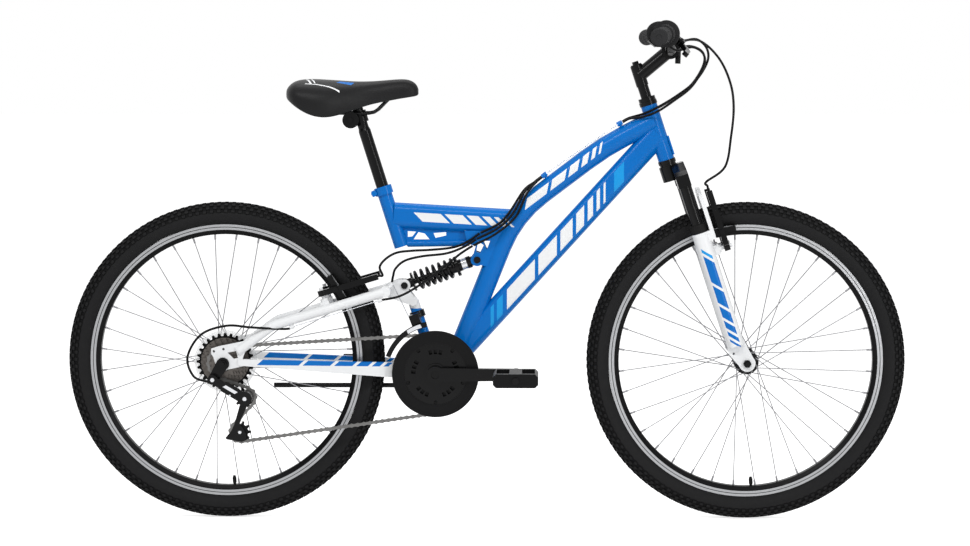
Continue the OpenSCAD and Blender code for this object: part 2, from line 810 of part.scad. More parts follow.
front_flange = 33;
rear_right_flange = 20;
rear_left_flange = 33;
rear_right_end = 61;
rear_left_end = 60;
freewheel_bore = 17;
claw_t = 4;

module front_tyre() { tyre(front_axle_pos); }
module rear_tyre() { tyre(rear_axle_pos); }
module front_rim() { rim(front_axle_pos); }
module rear_rim() { rim(rear_axle_pos); }
module front_spokes() { spokes(front_axle_pos, front_flange, front_flange); }
module rear_spokes() { spokes(rear_axle_pos, rear_right_flange, rear_left_flange); }

module front_hub() {
  hub(front_axle_pos, front_flange, front_flange, front_hub_half, front_hub_half, front_axle_d / 2,
    hub_r - 3);
}

module rear_hub() {
  hub(rear_axle_pos, rear_right_flange, rear_left_flange, rear_right_end, rear_left_end, rear_axle_d / 2,
    freewheel_bore);
}

module spoke_protector() {
  color("whitesmoke") at_axle(rear_axle_pos) translate([0, 0, rear_right_flange + 6]) difference() {
    cylinder(h = 1.5, r = 64.5);
    translate([0, 0, -1]) cylinder(h = 4, r = freewheel_bore);
    for (i = [0:11]) rotate([0, 0, 30 * i]) translate([50, 0, -1]) cylinder(h = 4, r = 6);
  }
}

module rear_axle() {
  half = rear_spacing / 2;
  color("silver") axle_set(rear_axle_pos, rear_axle_d / 2, rear_spacing, dropout_t, dropout_t + claw_t,
    half - rear_left_end - side_gap, half - rear_right_end - side_gap);
}

// Rear triangle
drop_in = rear_spacing / 2;
stay_y = drop_in + dropout_t / 2;
stay_low_rear = rear_axle_pos + [30, stay_y, 3];
stay_low_mid = bb_pos + [-104, 41, 7];
stay_low_front = bb_pos + [-10, 27, 1];
stay_top_rear = rear_axle_pos + [30, stay_y, 25];
stay_top_bend = rear_axle_pos + [100, 62, 77];
stay_h = 30;
yoke_y = 42;
yoke_pos = shock_low + [-38, 0, -11];
yoke_r = 11;
stay_top_front = yoke_pos + [-4, yoke_y, -1];
strut_top = shock_low + [17, 0, -33];
cheek_in = shock_eye_w / 2 + side_gap;
cheek_t = 4;
brake_tilt = atan2(stay_top_front[2] - stay_top_bend[2], stay_top_front[0] - stay_top_bend[0]);
boss_t = 0.49;
boss_base = mix(stay_top_bend, stay_top_front, boss_t);
bb_cup_r = 17.4;
rack_hole_r = 2.6;
hanger_pos = rear_axle_pos + [-20, 0, -31];

// Blade of a chainstay between two points, with its own height at each end
module blade(a, b, ha, hb) {
  l = norm([b[0] - a[0], b[1] - a[1]]);
  translate([a[0], a[1], 0]) rotate([0, 0, atan2(b[1] - a[1], b[0] - a[0])])
    slab(-chainstay_t / 2, chainstay_t / 2)
      polygon([[0, a[2] - ha / 2], [l, b[2] - hb / 2], [l, b[2] + hb / 2], [0, a[2] + ha / 2]]);
}

module dropout() {
  c = [rear_axle_pos[0], rear_axle_pos[2]];
  slab(drop_in, drop_in + dropout_t) difference() {
    union() {
      translate(c) circle(15);
      polygon([c + [-20, 14], c + [-24, 20], c + [-24, 31], c + [-8, 36], c + [46, 47], c + [46, 26],
        c + [40, 10], c + [46, -4], c + [10, -12], c + [-13, -8]]);
    }
    translate(c) circle(rear_axle_d / 2 + run_gap);
    for (e = [[-18.5, 25.5], [1, 30]]) translate(c + e) circle(rack_hole_r);
    polygon([c + [9, 23], c + [27, 26], c + [31, 12], c + [22, 10]]);
  }
}

module yoke_cheek() {
  e = [shock_low[0], shock_low[2]];
  difference() {
    union() {
      translate(e) circle(shock_eye_r);
      polygon([e + [-48, -19], e + [-40, 1], e + [-14, 12], e + [2, 12], e + [9, -9], e + [25, -30],
        e + [18, -42], e + [-8, -34]]);
    }
    translate(e) circle(shock_bolt_d / 2 + run_gap);
  }
}

module half_triangle() {
  blade(stay_low_rear, stay_low_mid, 13, stay_h);
  blade(stay_low_mid, stay_low_front, stay_h, stay_h + 2);
  translate([stay_low_mid[0], stay_low_mid[1], stay_low_mid[2] - stay_h / 2 - joint_bulge])
    cylinder(h = stay_h + 2 * joint_bulge, r = chainstay_t / 2 + joint_bulge);
  bent_tube([stay_top_rear, stay_top_bend, stay_top_front], [60], seatstay_d / 2);
  dropout();
  slab(cheek_in, cheek_in + cheek_t) yoke_cheek();
  slab(ear_in, ear_out) {
    translate([pivot_pos[0], pivot_pos[2]]) circle(pivot_shell_r - 3);
    translate([(pivot_pos[0] + bb_pos[0]) / 2, (pivot_pos[2] + bb_pos[2]) / 2])
      rotate(atan2(pivot_pos[2] - bb_pos[2], pivot_pos[0] - bb_pos[0]))
        square([norm(pivot_pos - bb_pos), 30], center = true);
  }
  on_boss() {
    translate([0, post_y - 8, -9]) cube([16, boss_base[1] - post_y + 8, 18]);
    translate([0, post_y, 0]) rotate([0, 90, 0]) cylinder(h = 22, r = 8);
    translate([0, post_y, 0]) rotate([0, 90, 0]) cylinder(h = rear_arm_x + arm_t + 6, r = post_r);
  }
}

rear_arm_x = 28;

// Frame of the rear brake: X stands off the seatstay and Z runs along it to the front
module on_boss() {
  translate([boss_base[0], 0, boss_base[2]]) rotate([0, 90 - brake_tilt, 0]) mirror([1, 0, 0]) children();
}

module rear_triangle() {
  color("white") difference() {
    union() {
      on_both() half_triangle();
      at_axle(bb_pos) translate([0, 0, -bb_shell_w / 2]) cylinder(h = bb_shell_w, r = bb_shell_d / 2);
      rod(bb_pos, strut_top, strut_d / 2);
      rod(strut_top - [0, cheek_in + cheek_t, 0], strut_top + [0, cheek_in + cheek_t, 0], 9);
      rod(yoke_pos - [0, yoke_y + 8, 0], yoke_pos + [0, yoke_y + 8, 0], yoke_r);
      rod([yoke_pos[0], fd_stop[1], yoke_pos[2]], fd_stop, stop_r);
      for (t = [shift_end_t, shift_stop_t]) {
        rod(stay_under(t), stay_under(t + 0.04), stop_r);
        rod(stay_under(t + 0.02), stay_under(t + 0.02) + boss_up * 8, stop_r - 1);
      }
    }
    at_axle(bb_pos) translate([0, 0, -bb_shell_w]) cylinder(h = 2 * bb_shell_w, r = bb_cup_r);
    at_axle(pivot_pos) translate([0, 0, -bb_shell_w]) cylinder(h = 2 * bb_shell_w, r = pivot_r + run_gap);
  }
}

module bb_cups() {
  color("dimgray") at_axle(bb_pos) for (s = [0, 1]) mirror([0, 0, s]) difference() {
    union() {
      translate([0, 0, bb_shell_w / 2 - 20]) cylinder(h = 20, r = bb_cup_r);
      translate([0, 0, bb_shell_w / 2]) cylinder(h = 3, r = bb_cup_r + 2.5);
    }
    translate([0, 0, bb_shell_w / 2 - 21]) cylinder(h = 30, r = spindle_d / 2 + run_gap);
  }
}

// Cranks and chainrings
spider_in = 55.5;
spider_t = 3;
guard_t = 2.5;
arm_in = spider_in + spider_t + guard_t + 1.5;
crank_t = 14;
chain_y = spider_in - 1;
tooth_t = 2;
ring_gap = 7;
pedal_axle_r = 4.5;

function pitch_r(teeth) = chain_pitch / (2 * sin(180 / teeth));

// Outline of a sprocket
module sprocket(teeth) {
  r = pitch_r(teeth);
  a = 360 / teeth;
  polygon([for (i = [0:teeth - 1]) each [
    for (s = [[-0.33, r - 3.7], [-0.14, r + 2.4], [0.14, r + 2.4], [0.33, r - 3.7]])
      s[1] * [cos(a * (i + s[0])), sin(a * (i + s[0]))]]]);
}

module crank_outline() {
  l = crank_len;
  circle(17);
  translate([l, 0]) circle(13);
  polygon([[0, 14], [l, 12], [l, -12], [0, -14]]);
}

module crank_arms() {
  color("black") at_axle(bb_pos) {
    difference() {
      union() {
        translate([0, 0, arm_in]) linear_extrude(crank_t) crank_outline();
        translate([0, 0, spider_in]) cylinder(h = arm_in - spider_in, r = 22);
        translate([0, 0, spider_in]) cylinder(h = spider_t, r = 70);
      }
      cylinder(h = 200, r = spindle_d / 2);
      translate([crank_len, 0, 0]) cylinder(h = 200, r = pedal_axle_r);
      for (i = [0:4], j = [-1:1]) rotate([0, 0, 72 * i + 90 + 13 * j])
        translate([41, -3.4, spider_in - 1]) cube([9, 6.8, spider_t + 2]);
      for (i = [0:4]) rotate([0, 0, 72 * i + 54]) translate([59, 0, spider_in - 1]) cylinder(h = 9,
        r = 4);
    }
    mirror([0, 0, 1]) mirror([1, 0, 0]) difference() {
      union() {
        translate([0, 0, arm_in]) linear_extrude(crank_t) crank_outline();
        translate([0, 0, bb_shell_w / 2 + 6]) cylinder(h = arm_in - bb_shell_w / 2 - 6, r = 14);
      }
      cylinder(h = 200, r = spindle_d / 2);
      translate([crank_len, 0, 0]) cylinder(h = 200, r = pedal_axle_r);
    }
  }
}

pedal_in = arm_in + crank_t + 5;
pedal_axle_end = pedal_in + pedal_w + 2;

module crank_axles() {
  half = arm_in + crank_t - 4;
  color("silver") at_axle(bb_pos) {
    translate([0, 0, -half]) cylinder(h = 2 * half, r = spindle_d / 2);
    for (s = [0, 1]) mirror([0, 0, s]) mirror([s, 0, 0]) translate([crank_len, 0, 0]) {
      translate([0, 0, arm_in]) cylinder(h = pedal_axle_end - arm_in, r = pedal_axle_r);
      translate([0, 0, arm_in + crank_t]) cylinder(h = 4, r = 8);
      translate([0, 0, pedal_axle_end]) cylinder(h = 3, r = 7);
    }
  }
}

module chainrings() {
  color("#282828") at_axle(bb_pos) {
    translate([0, 0, spider_in - tooth_t]) linear_extrude(tooth_t) difference() {
      sprocket(ring_teeth);
      circle(57);
    }
    translate([0, 0, spider_in - tooth_t - ring_gap]) linear_extrude(tooth_t) difference() {
      sprocket(ring_teeth - 8);
      circle(42);
    }
    translate([0, 0, spider_in - tooth_t - 2 * ring_gap]) linear_extrude(tooth_t) difference() {
      sprocket(ring_teeth - 16);
      circle(30);
    }
    for (i = [0:4]) rotate([0, 0, 72 * i]) {
      translate([58.9, 0, spider_in - tooth_t / 2 - ring_gap]) cylinder(h = ring_gap, r = 1.5);
      translate([43.3, 0, spider_in - tooth_t / 2 - 2 * ring_gap]) cylinder(h = ring_gap, r = 1);
    }
  }
}

module chain_guard() {
  color("black") at_axle(bb_pos) translate([0, 0, spider_in + spider_t]) {
    ring(guard_t, guard_r, 64);
    ring(guard_t + 0.8, guard_r, guard_r - 5);
  }
}

module pedal(left) {
  s = left ? 1 : 0;
  color("#252525") at_axle(bb_pos) mirror([0, 0, s]) mirror([s, 0, 0])
    translate([crank_len, 0, pedal_in]) difference() {
      union() {
        translate([-pedal_len / 2, -pedal_h / 2, 0]) cube([pedal_len, pedal_h, pedal_w]);
      }
      for (x = [-1, 1]) translate([x * (pedal_len / 4 + 3) - 13, -pedal_h, 12]) cube([26,
        2 * pedal_h, pedal_w - 24]);
      for (x = [-1, 1], y = [-1, 1]) translate([x * (pedal_len / 2), y * pedal_h / 2, -1])
        rotate([0, 0, 45]) cube([9, 9, 2 * pedal_w + 4], center = true);
      translate([0, 0, -1]) cylinder(h = pedal_w + 2, r = pedal_axle_r + run_gap);
    }
}

module pedal_right() { pedal(false); }
module pedal_left() { pedal(true); }

// Freewheel
cog_teeth = [14, 16, 18, 21, 24, 28];
cog_gap = 5.4;
chain_cog = 1;

module freewheel() {
  end = chain_y + chain_cog * cog_gap;
  first = end - (len(cog_teeth) - 1) * cog_gap;
  color("#3a3632") at_axle(rear_axle_pos) difference() {
    union() {
      for (i = [0:len(cog_teeth) - 1])
        translate([0, 0, end - i * cog_gap - tooth_t / 2]) linear_extrude(tooth_t) sprocket(cog_teeth[i]);
      translate([0, 0, first - 2]) cylinder(h = end - first + 3.5, r = pitch_r(cog_teeth[0]) - 5);
      for (i = [1:len(cog_teeth) - 1])
        translate([0, 0, first - 2]) cylinder(h = end - first - (i - 1) * cog_gap - 1,
          r = pitch_r(cog_teeth[i - 1]) - 5);
    }
    translate([0, 0, -100]) cylinder(h = 200, r = freewheel_bore + run_gap);
  }
}

// Shock: Z runs from the lower eye to the upper eye
seat_low_z = 17;
seat_t = 4;
spring_low = seat_low_z + seat_t;
spring_top = 112;
shock_head_z = 145;
shaft_top = 110;
shaft_room = 1.2;

module on_shock() {
  between(shock_low, shock_top) children();
}

// Eye with its bolt and the bolt's two heads
module shock_eye() {
  head_in = cheek_in + cheek_t + free_gap;
  rotate([90, 0, 0]) {
    difference() {
      cylinder(h = shock_eye_w, r = shock_eye_r, center = true);
      cylinder(h = shock_eye_w + 2, r = shock_bolt_d / 2 + run_gap, center = true);
    }
    cylinder(h = 2 * head_in, r = shock_bolt_d / 2, center = true);
    for (s = [0, 1]) mirror([0, 0, s]) translate([0, 0, head_in]) cylinder(h = 4,
      r = shock_bolt_d / 2 + 3);
  }
}

module shock_shaft() {
  color("silver") on_shock() {
    shock_eye();
    difference() {
      union() {
        cylinder(h = shaft_top, r = shock_shaft_d / 2);
        cylinder(h = seat_low_z, r = 10);
        translate([0, 0, seat_low_z]) cylinder(h = seat_t, r = spring_d / 2 + 2);
      }
      rotate([90, 0, 0]) cylinder(h = 60, r = shock_eye_r, center = true);
    }
  }
}

module shock_body() {
  color("black") on_shock() {
    translate([0, 0, shock_len]) shock_eye();
    difference() {
      union() {
        translate([0, 0, 80]) cylinder(h = shock_head_z - 80, r = shock_d / 2);
        translate([0, 0, spring_top]) cylinder(h = 6, r = spring_d / 2 + 3);
        translate([0, 0, shock_head_z]) cylinder(h = shock_len - shock_head_z, r = 10);
      }
      translate([0, 0, 79]) cylinder(h = shock_head_z - 81, r = shock_shaft_d / 2 + shaft_room);
      translate([0, 0, shock_len]) rotate([90, 0, 0]) cylinder(h = 60, r = shock_eye_r, center = true);
    }
  }
}

module shock_spring() {
  color("black") on_shock() translate([0, 0, spring_low])
    coil(spring_top - spring_low, spring_d / 2, spring_wire, spring_turns);
}

// Seat
post_low = 35;
post_swage = 250;
post_top = 300;
post_neck_r = 11;
clamp_bolt = [-18.8, 279.6];
saddle_pos = seat_pos + [-234, 0, 310];
rail_r = 3.5;
rail_y = 22;
rail_pts = [
  saddle_pos + [222, 8, 7], saddle_pos + [180, rail_y, -35], saddle_pos + [95, rail_y, -35],
    saddle_pos + [50, 30, 4]];
clamp_drum_r = 15;
clamp_disc_in = rail_y - rail_r - 1;

module seatpost() {
  color("black") on_seat() {
    translate([0, 0, post_low]) cylinder(h = post_swage - post_low, r = seatpost_r);
    translate([0, 0, post_swage]) cylinder(h = 6, r1 = seatpost_r, r2 = post_neck_r);
    translate([0, 0, post_swage]) cylinder(h = post_top - post_swage, r = post_neck_r);
    difference() {
      union() {
        translate([0, 0, clamp_bolt[1] - 12]) cylinder(h = 24, r = post_neck_r + 4);
        translate([clamp_bolt[0], 0, clamp_bolt[1]]) rotate([90, 0, 0])
          cylinder(h = 2 * clamp_disc_in + 20, r = clamp_drum_r + 2, center = true);
        translate([clamp_bolt[0], 0, clamp_bolt[1]]) rotate([90, 0, 0])
          cylinder(h = 2 * clamp_disc_in + 32, r = 6, center = true, $fn = 6);
      }
      translate([0, 0, post_swage]) cylinder(h = 90, r = post_neck_r + run_gap);
      rotate([0, seat_tilt, 0]) translate(-seat_pos) on_both() rod(rail_pts[1], rail_pts[2],
        rail_r + run_gap);
    }
  }
}

module saddle_rails() {
  color("silver") on_both() bent_tube(rail_pts, [25, 25], rail_r, 3 * bend_step);
}

// Saddle stations: place along its length, half width, top and lower edge
saddle_stations = [
  [0, 30, 12, 0], [0.015, 52, 20, -7], [0.045, 68, 28, -14], [0.093, 79, 34, -25], [0.196, 82, 36, -42],
  [0.315, 76, 34, -47], [0.426, 60, 32, -39], [0.519, 46, 30, -30], [0.63, 34, 30, -19], [0.741,
    27, 32, -13],
  [0.859, 23, 35, -7], [0.926, 21, 34, -4], [0.97, 17, 28, -2], [0.993, 11, 20, 0], [1, 6, 13, 4]];
saddle_foam = 32;

// Half outline of one station, from the crown to the middle of the underside
function saddle_half(s) =
  let (w = s[1] * saddle_w / 164, t = s[2], b = s[3], h = t - b, u = max(t - saddle_foam, b + 0.3 * h))
  [[0, t], [0.4 * w, t - 0.03 * h], [0.7 * w, t - 0.12 * h], [0.9 * w, t - 0.3 * h], [w, t - 0.55 * h],
    [0.97 * w, b + 0.15 * h], [0.9 * w, b], [0.8 * w, b + 0.06 * h], [0.68 * w, mix(b, u, 0.7)],
    [0.4 * w, u], [0, u]];
function saddle_ring(s) =
  let (half = saddle_half(s), n = len(half))
  [for (q = concat(half, [for (i = [n - 2:-1:1]) [-half[i][0], half[i][1]]]))
    saddle_pos + [s[0] * saddle_len, q[0], q[1]]];

module saddle() {
  rings = [for (s = saddle_stations) saddle_ring(s)];
  n = len(rings[0]);
  m = n / 2;
  last = (len(rings) - 1) * n;
  walls = [for (i = [0:len(rings) - 2], j = [0:n - 1])
    let (k = (j + 1) % n, b = i * n, c = b + n) each [[b + j, b + k, c + k], [b + j, c + k, c + j]]];
  strips = [for (i = [0:m / 2 - 1], side = [0, 1])
    let (a = side == 0 ? i : (n - i) % n, b = side == 0 ? i + 1 : n - i - 1,
      c = side == 0 ? m - i - 1 : m + i + 1, d = side == 0 ? m - i : m + i)
    each side == 0 ? [[a, c, b], [a, d, c]] : [[a, b, c], [a, c, d]]];
  solid_faces = [for (f = strips) if (f[0] != f[1] && f[1] != f[2] && f[0] != f[2]) f];
  ends = [for (f = solid_faces) each [f, [last + f[0], last + f[2], last + f[1]]]];
  color("#1c1c1c") polyhedron(points = [for (r = rings) each r], faces = concat(walls, ends));
}

// Brakes
arm_top_y = 38;
arm_len = 113;
pad_half = 30;
pad_h = 11;
pad_out = 26;
pad_gap = 2.2;
stud_r = 3.5;
front_pad_z = 32;
rear_pad_z = 29;
front_pad_turn = atan2(arm_gap_x + arm_t / 2 - fork_offset, post_z + front_pad_z + fork_length);
boss_up = [-sin(brake_tilt), 0, cos(brake_tilt)];
boss_along = [cos(brake_tilt), 0, sin(brake_tilt)];
wheel_from_boss = rear_axle_pos - boss_base;
rear_pad_turn = atan2(rear_arm_x + arm_t / 2 - wheel_from_boss * boss_up,
  rear_pad_z - wheel_from_boss * boss_along);
function boss_point(p) = [boss_base[0], p[1], boss_base[2]] + p[0] * boss_up + p[2] * boss_along;

module arm_outline() {
  translate([post_y, 0]) circle(9);
  polygon([[post_y - 8, 0], [post_y + 8, 0], [post_y + 7, 45], [arm_top_y + 5, arm_len],
    [arm_top_y - 5, arm_len],
    [post_y - 7, 45]]);
  translate([arm_top_y, arm_len]) square(12, center = true);
}

// Frame of one arm: X along the pivot pin, Y outwards and Z along the arm
module brake_arm(x0, pad_z, pad_turn) {
  color("black") translate([x0, 0, 0]) {
    difference() {
      rotate([90, 0, 90]) linear_extrude(arm_t) arm_outline();
      translate([-1, post_y, 0]) rotate([0, 90, 0]) cylinder(h = arm_t + 2, r = post_r + run_gap);
      translate([arm_t / 2, 0, pad_z]) rotate([-90, 0, 0]) cylinder(h = 100, r = stud_r + run_gap);
    }
    translate([arm_t / 2, 0, pad_z]) {
      rotate([0, pad_turn, 0]) translate([-pad_half, rim_w / 2 + pad_gap, -pad_h / 2])
        cube([2 * pad_half, pad_out - rim_w / 2 - pad_gap, pad_h]);
      translate([0, pad_out - 2, 0]) rotate([-90, 0, 0]) cylinder(h = post_y + 11 - pad_out, r = stud_r);
      translate([0, post_y + 8.5, 0]) rotate([-90, 0, 0]) cylinder(h = 4, r = 6, $fn = 6);
    }
  }
}

module front_brake(left) {
  on_fork() on_left(left) translate([0, 0, post_z]) brake_arm(arm_gap_x, front_pad_z, front_pad_turn);
}

module rear_brake(left) {
  on_left(left) on_boss() brake_arm(rear_arm_x, rear_pad_z, rear_pad_turn);
}

module front_brake_right() { front_brake(false); }
module front_brake_left() { front_brake(true); }
module rear_brake_right() { rear_brake(false); }
module rear_brake_left() { rear_brake(true); }

// Kickstand
stand_pos = bb_pos + [-80.5, 0, -38];
stand_plate_in = 40;
stand_plate_out = 50;
stand_pin_r = 5;
stand_y = 56;
stand_len = 262;
stand_r = 5.25;

module kickstand_bracket() {
  half_w = 10.2;
  color("black") {
    difference() {
      union() {
        translate([bb_pos[0] - 82, 22, bb_pos[2] - 18]) cube([32, stand_plate_out - 22, 46]);
        slab(stand_plate_in, stand_plate_out) {
          translate([stand_pos[0], stand_pos[2]]) circle(half_w);
          polygon([[stand_pos[0] - half_w, stand_pos[2]], [bb_pos[0] - 82, bb_pos[2]],
            [bb_pos[0] - 50, bb_pos[2] - 14],
            [stand_pos[0] + half_w, stand_pos[2]]]);
        }
      }
      blade(stay_low_mid, stay_low_front, stay_h, stay_h + 2);
    }
    at_axle(stand_pos) mirror([0, 0, 1]) {
      translate([0, 0, stand_plate_in]) cylinder(h = stand_y + 5 - stand_plate_in, r = stand_pin_r);
      translate([0, 0, stand_y + 4.8]) cylinder(h = 1, r = stand_pin_r + 3);
    }
  }
}

module kickstand_leg() {
  eye_in = stand_plate_out + free_gap;
  eye_out = stand_y + 4.8 - free_gap;
  mid = (eye_in + eye_out) / 2;
  color("black") difference() {
    union() {
      slab(eye_in, eye_out) translate([stand_pos[0], stand_pos[2]]) circle(10);
      rod([stand_pos[0], mid, stand_pos[2]], [stand_pos[0] - stand_len, mid, stand_pos[2]],
        stand_r - 0.3);
      rod([stand_pos[0] - stand_len + 34, mid, stand_pos[2]], [stand_pos[0] - stand_len, mid,
        stand_pos[2]], stand_r);
    }
    at_axle(stand_pos) cylinder(h = 200, r = stand_pin_r + run_gap, center = true);
  }
}

// Derailleurs and chain
guide_pos = rear_axle_pos + [43.5, 0, -72];
tension_pos = rear_axle_pos + [31.8, 0, -143];
pulley_teeth = 10;
pulley_bolt_r = 2.5;
cage_out = chain_y + 4.4;
cage_in = chain_y - 4.4;
cage_t = 1.5;
knuckle_end = 92;

module cage_outline() {
  g = [guide_pos[0], guide_pos[2]];
  t = [tension_pos[0], tension_pos[2]];
  translate(g) circle(11);
  polygon([g + [8, -6], t + [-1, 17], t + [7, 8], t + [13, -4], t + [14, -16], t + [4, -20],
    t + [-27, -15], t + [-30, -12], t + [-18, 2], t + [-11, 17], g + [-9, -6]]);
}

// A flat arm with round ends, between two points
module arm_between(a, b, r) {
  translate((a + b) / 2) rotate(atan2(b[1] - a[1], b[0] - a[0])) oval(r, norm(b - a));
}

module rear_derailleur() {
  axle = [rear_axle_pos[0], rear_axle_pos[2]];
  hook = [hanger_pos[0], hanger_pos[2]];
  knee = [guide_pos[0] + 2, guide_pos[2] + 2];
  claw_in = drop_in + dropout_t;
  color("#333333") {
    mirror([0, 1, 0]) {
      slab(claw_in, claw_in + claw_t) difference() {
        union() {
          translate(axle) circle(13);
          translate(hook) circle(11);
          polygon([axle + [-13, 4], axle + [8, -10], hook + [9, -6], hook + [-11, 0]]);
        }
        translate(axle) circle(rear_axle_d / 2 + run_gap);
      }
      slab(claw_in + claw_t, knuckle_end) translate(hook) circle(10);
      slab(knuckle_end - 8, knuckle_end) {
        arm_between(hook, knee, 8);
        arm_between(hook * 0.6 + knee * 0.4, knee, 11);
      }
      slab(cage_out + cage_t, knuckle_end) translate(knee) circle(15);
      slab(cage_out, cage_out + cage_t) cage_outline();
      slab(cage_in - cage_t, cage_in) cage_outline();
    }
    for (p = [guide_pos, tension_pos]) at_axle(p) translate([0, 0, cage_in - cage_t])
      cylinder(h = cage_out - cage_in + 2 * cage_t, r = pulley_bolt_r);
  }
}

module pulley(p) {
  color("#1a1a1a") at_axle(p) difference() {
    union() {
      translate([0, 0, chain_y - tooth_t / 2]) linear_extrude(tooth_t) sprocket(pulley_teeth);
      translate([0, 0, cage_in + free_gap]) cylinder(h = cage_out - cage_in - 2 * free_gap, r = 7);
    }
    cylinder(h = 200, r = pulley_bolt_r + run_gap);
  }
}

module guide_pulley() { pulley(guide_pos); }
module tension_pulley() { pulley(tension_pos); }

fd_up = 123.6;
fd_cage_r = 98;

// Part of a ring between two angles
module arc_band(r_in, r_out, from, to) {
  rotate([0, 0, from]) rotate_extrude(angle = to - from) translate([r_in, 0]) square([r_out - r_in,
    cage_t]);
}

module front_derailleur() {
  color("#262626") {
    between(bb_pos, strut_top) translate([0, 0, fd_up - 7]) ring(14, strut_d / 2 + 4, strut_d / 2);
    at_axle(bb_pos) {
      for (z = [cage_in - cage_t, cage_out]) translate([0, 0, z]) arc_band(fd_cage_r,
        fd_cage_r + 10, 100, 160);
      for (a = [104, 156]) rotate([0, 0, a]) translate([fd_cage_r + 1, -3, cage_in - cage_t / 2])
        cube([8, 6, cage_out - cage_in + cage_t]);
      rotate([0, 0, 111]) translate([fd_cage_r + 3, -10, strut_d / 2 + 1])
        cube([28, 20, cage_in - cage_t / 2 - strut_d / 2 - 1]);
    }
  }
}

// Chain loop over the second sprocket, the large chainring and the two pulleys
loop = [
  [rear_axle_pos[0], rear_axle_pos[2], pitch_r(cog_teeth[chain_cog]), 1],
  [bb_pos[0], bb_pos[2], pitch_r(ring_teeth), 1],
  [tension_pos[0], tension_pos[2], pitch_r(pulley_teeth), 1],
  [guide_pos[0], guide_pos[2], pitch_r(pulley_teeth), -1]];
function wheel_at(i) = loop[(i + len(loop)) % len(loop)];
function heading(a, b) = atan2(b[1] - a[1], b[0] - a[0])
  + asin((b[3] * b[2] - a[3] * a[2]) / norm([b[0] - a[0], b[1] - a[1]]));
function touch(c, h) = [c[0], c[1]] - c[3] * c[2] * [sin(h), -cos(h)];
function turn(a) = a - 360 * floor(a / 360);
loop_runs = [for (i = [0:len(loop) - 1])
  let (a = wheel_at(i), b = wheel_at(i + 1), c = wheel_at(i + 2), h = heading(a, b), next = heading(b, c),
    p = touch(a, h), q = touch(b, h))
  each [[norm(q - p), p, h], [turn(b[3] * (h - next)) * PI / 180 * b[2], b, h]]];
function sum_runs(i) = i < 0 ? 0 : loop_runs[i][0] + sum_runs(i - 1);
loop_len = sum_runs(len(loop_runs) - 1);
link_count = 2 * round(loop_len / chain_pitch / 2);
function run_point(i, d) =
  let (r = loop_runs[i], c = r[1], h = r[2])
  i % 2 == 0 ? c + d * [cos(h), sin(h)] : touch(c, h - c[3] * d / c[2] * 180 / PI);
function loop_point(d, i = 0) =
  d <= loop_runs[i][0] || i == len(loop_runs) - 1 ? run_point(i,
    d) : loop_point(d - loop_runs[i][0], i + 1);
chain_pins = [for (k = [0:link_count - 1]) loop_point(k * loop_len / link_count)];
link_r = 4.2;
plate_t = 0.9;
plate_in = 1.3;
roller_r = 3.9;
function clear_of_teeth(p) = min([for (c = loop) norm(p - [c[0], c[1]]) - c[2]]) > roller_r + 2.8;

// The inner links are a little larger than the outer ones
module links(odd) {
  r = odd == 0 ? link_r : link_r - 0.4;
  for (k = [odd:2:link_count - 1]) {
    a = chain_pins[k];
    b = chain_pins[(k + 1) % link_count];
    translate((a + b) / 2) rotate(atan2(b[1] - a[1], b[0] - a[0])) oval(r, norm(b - a));
  }
}

module chain() {
  color("#4a4238") translate([0, -chain_y, 0]) {
    on_both() {
      slab(plate_in, plate_in + plate_t) links(0);
      slab(plate_in + plate_t, plate_in + 2 * plate_t) links(1);
    }
    for (p = chain_pins) if (clear_of_teeth(p)) translate([p[0], 0, p[1]]) rotate([90, 0, 0]) {
      cylinder(h = 2 * plate_in, r = roller_r, center = true);
      cylinder(h = 2 * plate_in + 4 * plate_t + 0.8, r = 1.8, center = true);
    }
  }
}

// Cables: housings of one size, and bare wires between the stops
housing_r = 2.5;
wire_r = 0.9;
function bar_local(p) = bar_bend + p[0] * lever_aim + p[1] * cross(bar_dir, lever_aim) + p[2] * bar_dir;
function bar_point(p, left) = on_steer([bar_local(p)[0], (left ? 1 : -1) * bar_local(p)[1],
  bar_local(p)[2]]);
function fork_point(p) = on_steer(p + [0, 0, post_z]);
function stop_front(a) = tube_spot(0, front_stop_t, a) + tube_dir(0) * (stop_len + 2 * side_gap);
function stop_lead(a) = stop_front(a) + tube_dir(0) * 16;
perch_end = [30, 0, perch_z - perch_w / 2 - 14];
shifter_end = [0, 20, housing_z + 1];

rear_brake_lead = [
  bar_point(perch_end, false), bar_point(perch_end - [0, 0, 20], false), [428, -52, 988], [450,
    -36, 970], [452, -28, 942],
  [428, -26, 903], [390, -26, 873], [350, -25, 849], [322, -14, 836], stop_lead(0), stop_front(0)];
rear_shift_lead = [
  bar_point(shifter_end, false), bar_point(shifter_end - [0, 0, 42], false), [386, -82, 966], [420,
    -62, 972], [443, -46, 958],
  [444, -37, 932], [420, -34, 892], [385, -33, 864], [350, -32, 841], [320, -22, 830],
    stop_lead(-18), stop_front(-18)];
front_shift_lead = [
  bar_point(shifter_end, true), bar_point(shifter_end - [0, 0, 42], true), [386, 82, 966], [420,
    62, 974], [446, 42, 962],
  [448, 32, 936], [424, 28, 896], [388, 27, 868], [350, 26, 845], [320, 18, 832], stop_lead(18),
    stop_front(18)];

module steering_cables() {
  color("black") for (p = [rear_brake_lead, rear_shift_lead, front_shift_lead]) swept(curve(p, 2),
    housing_r);
}

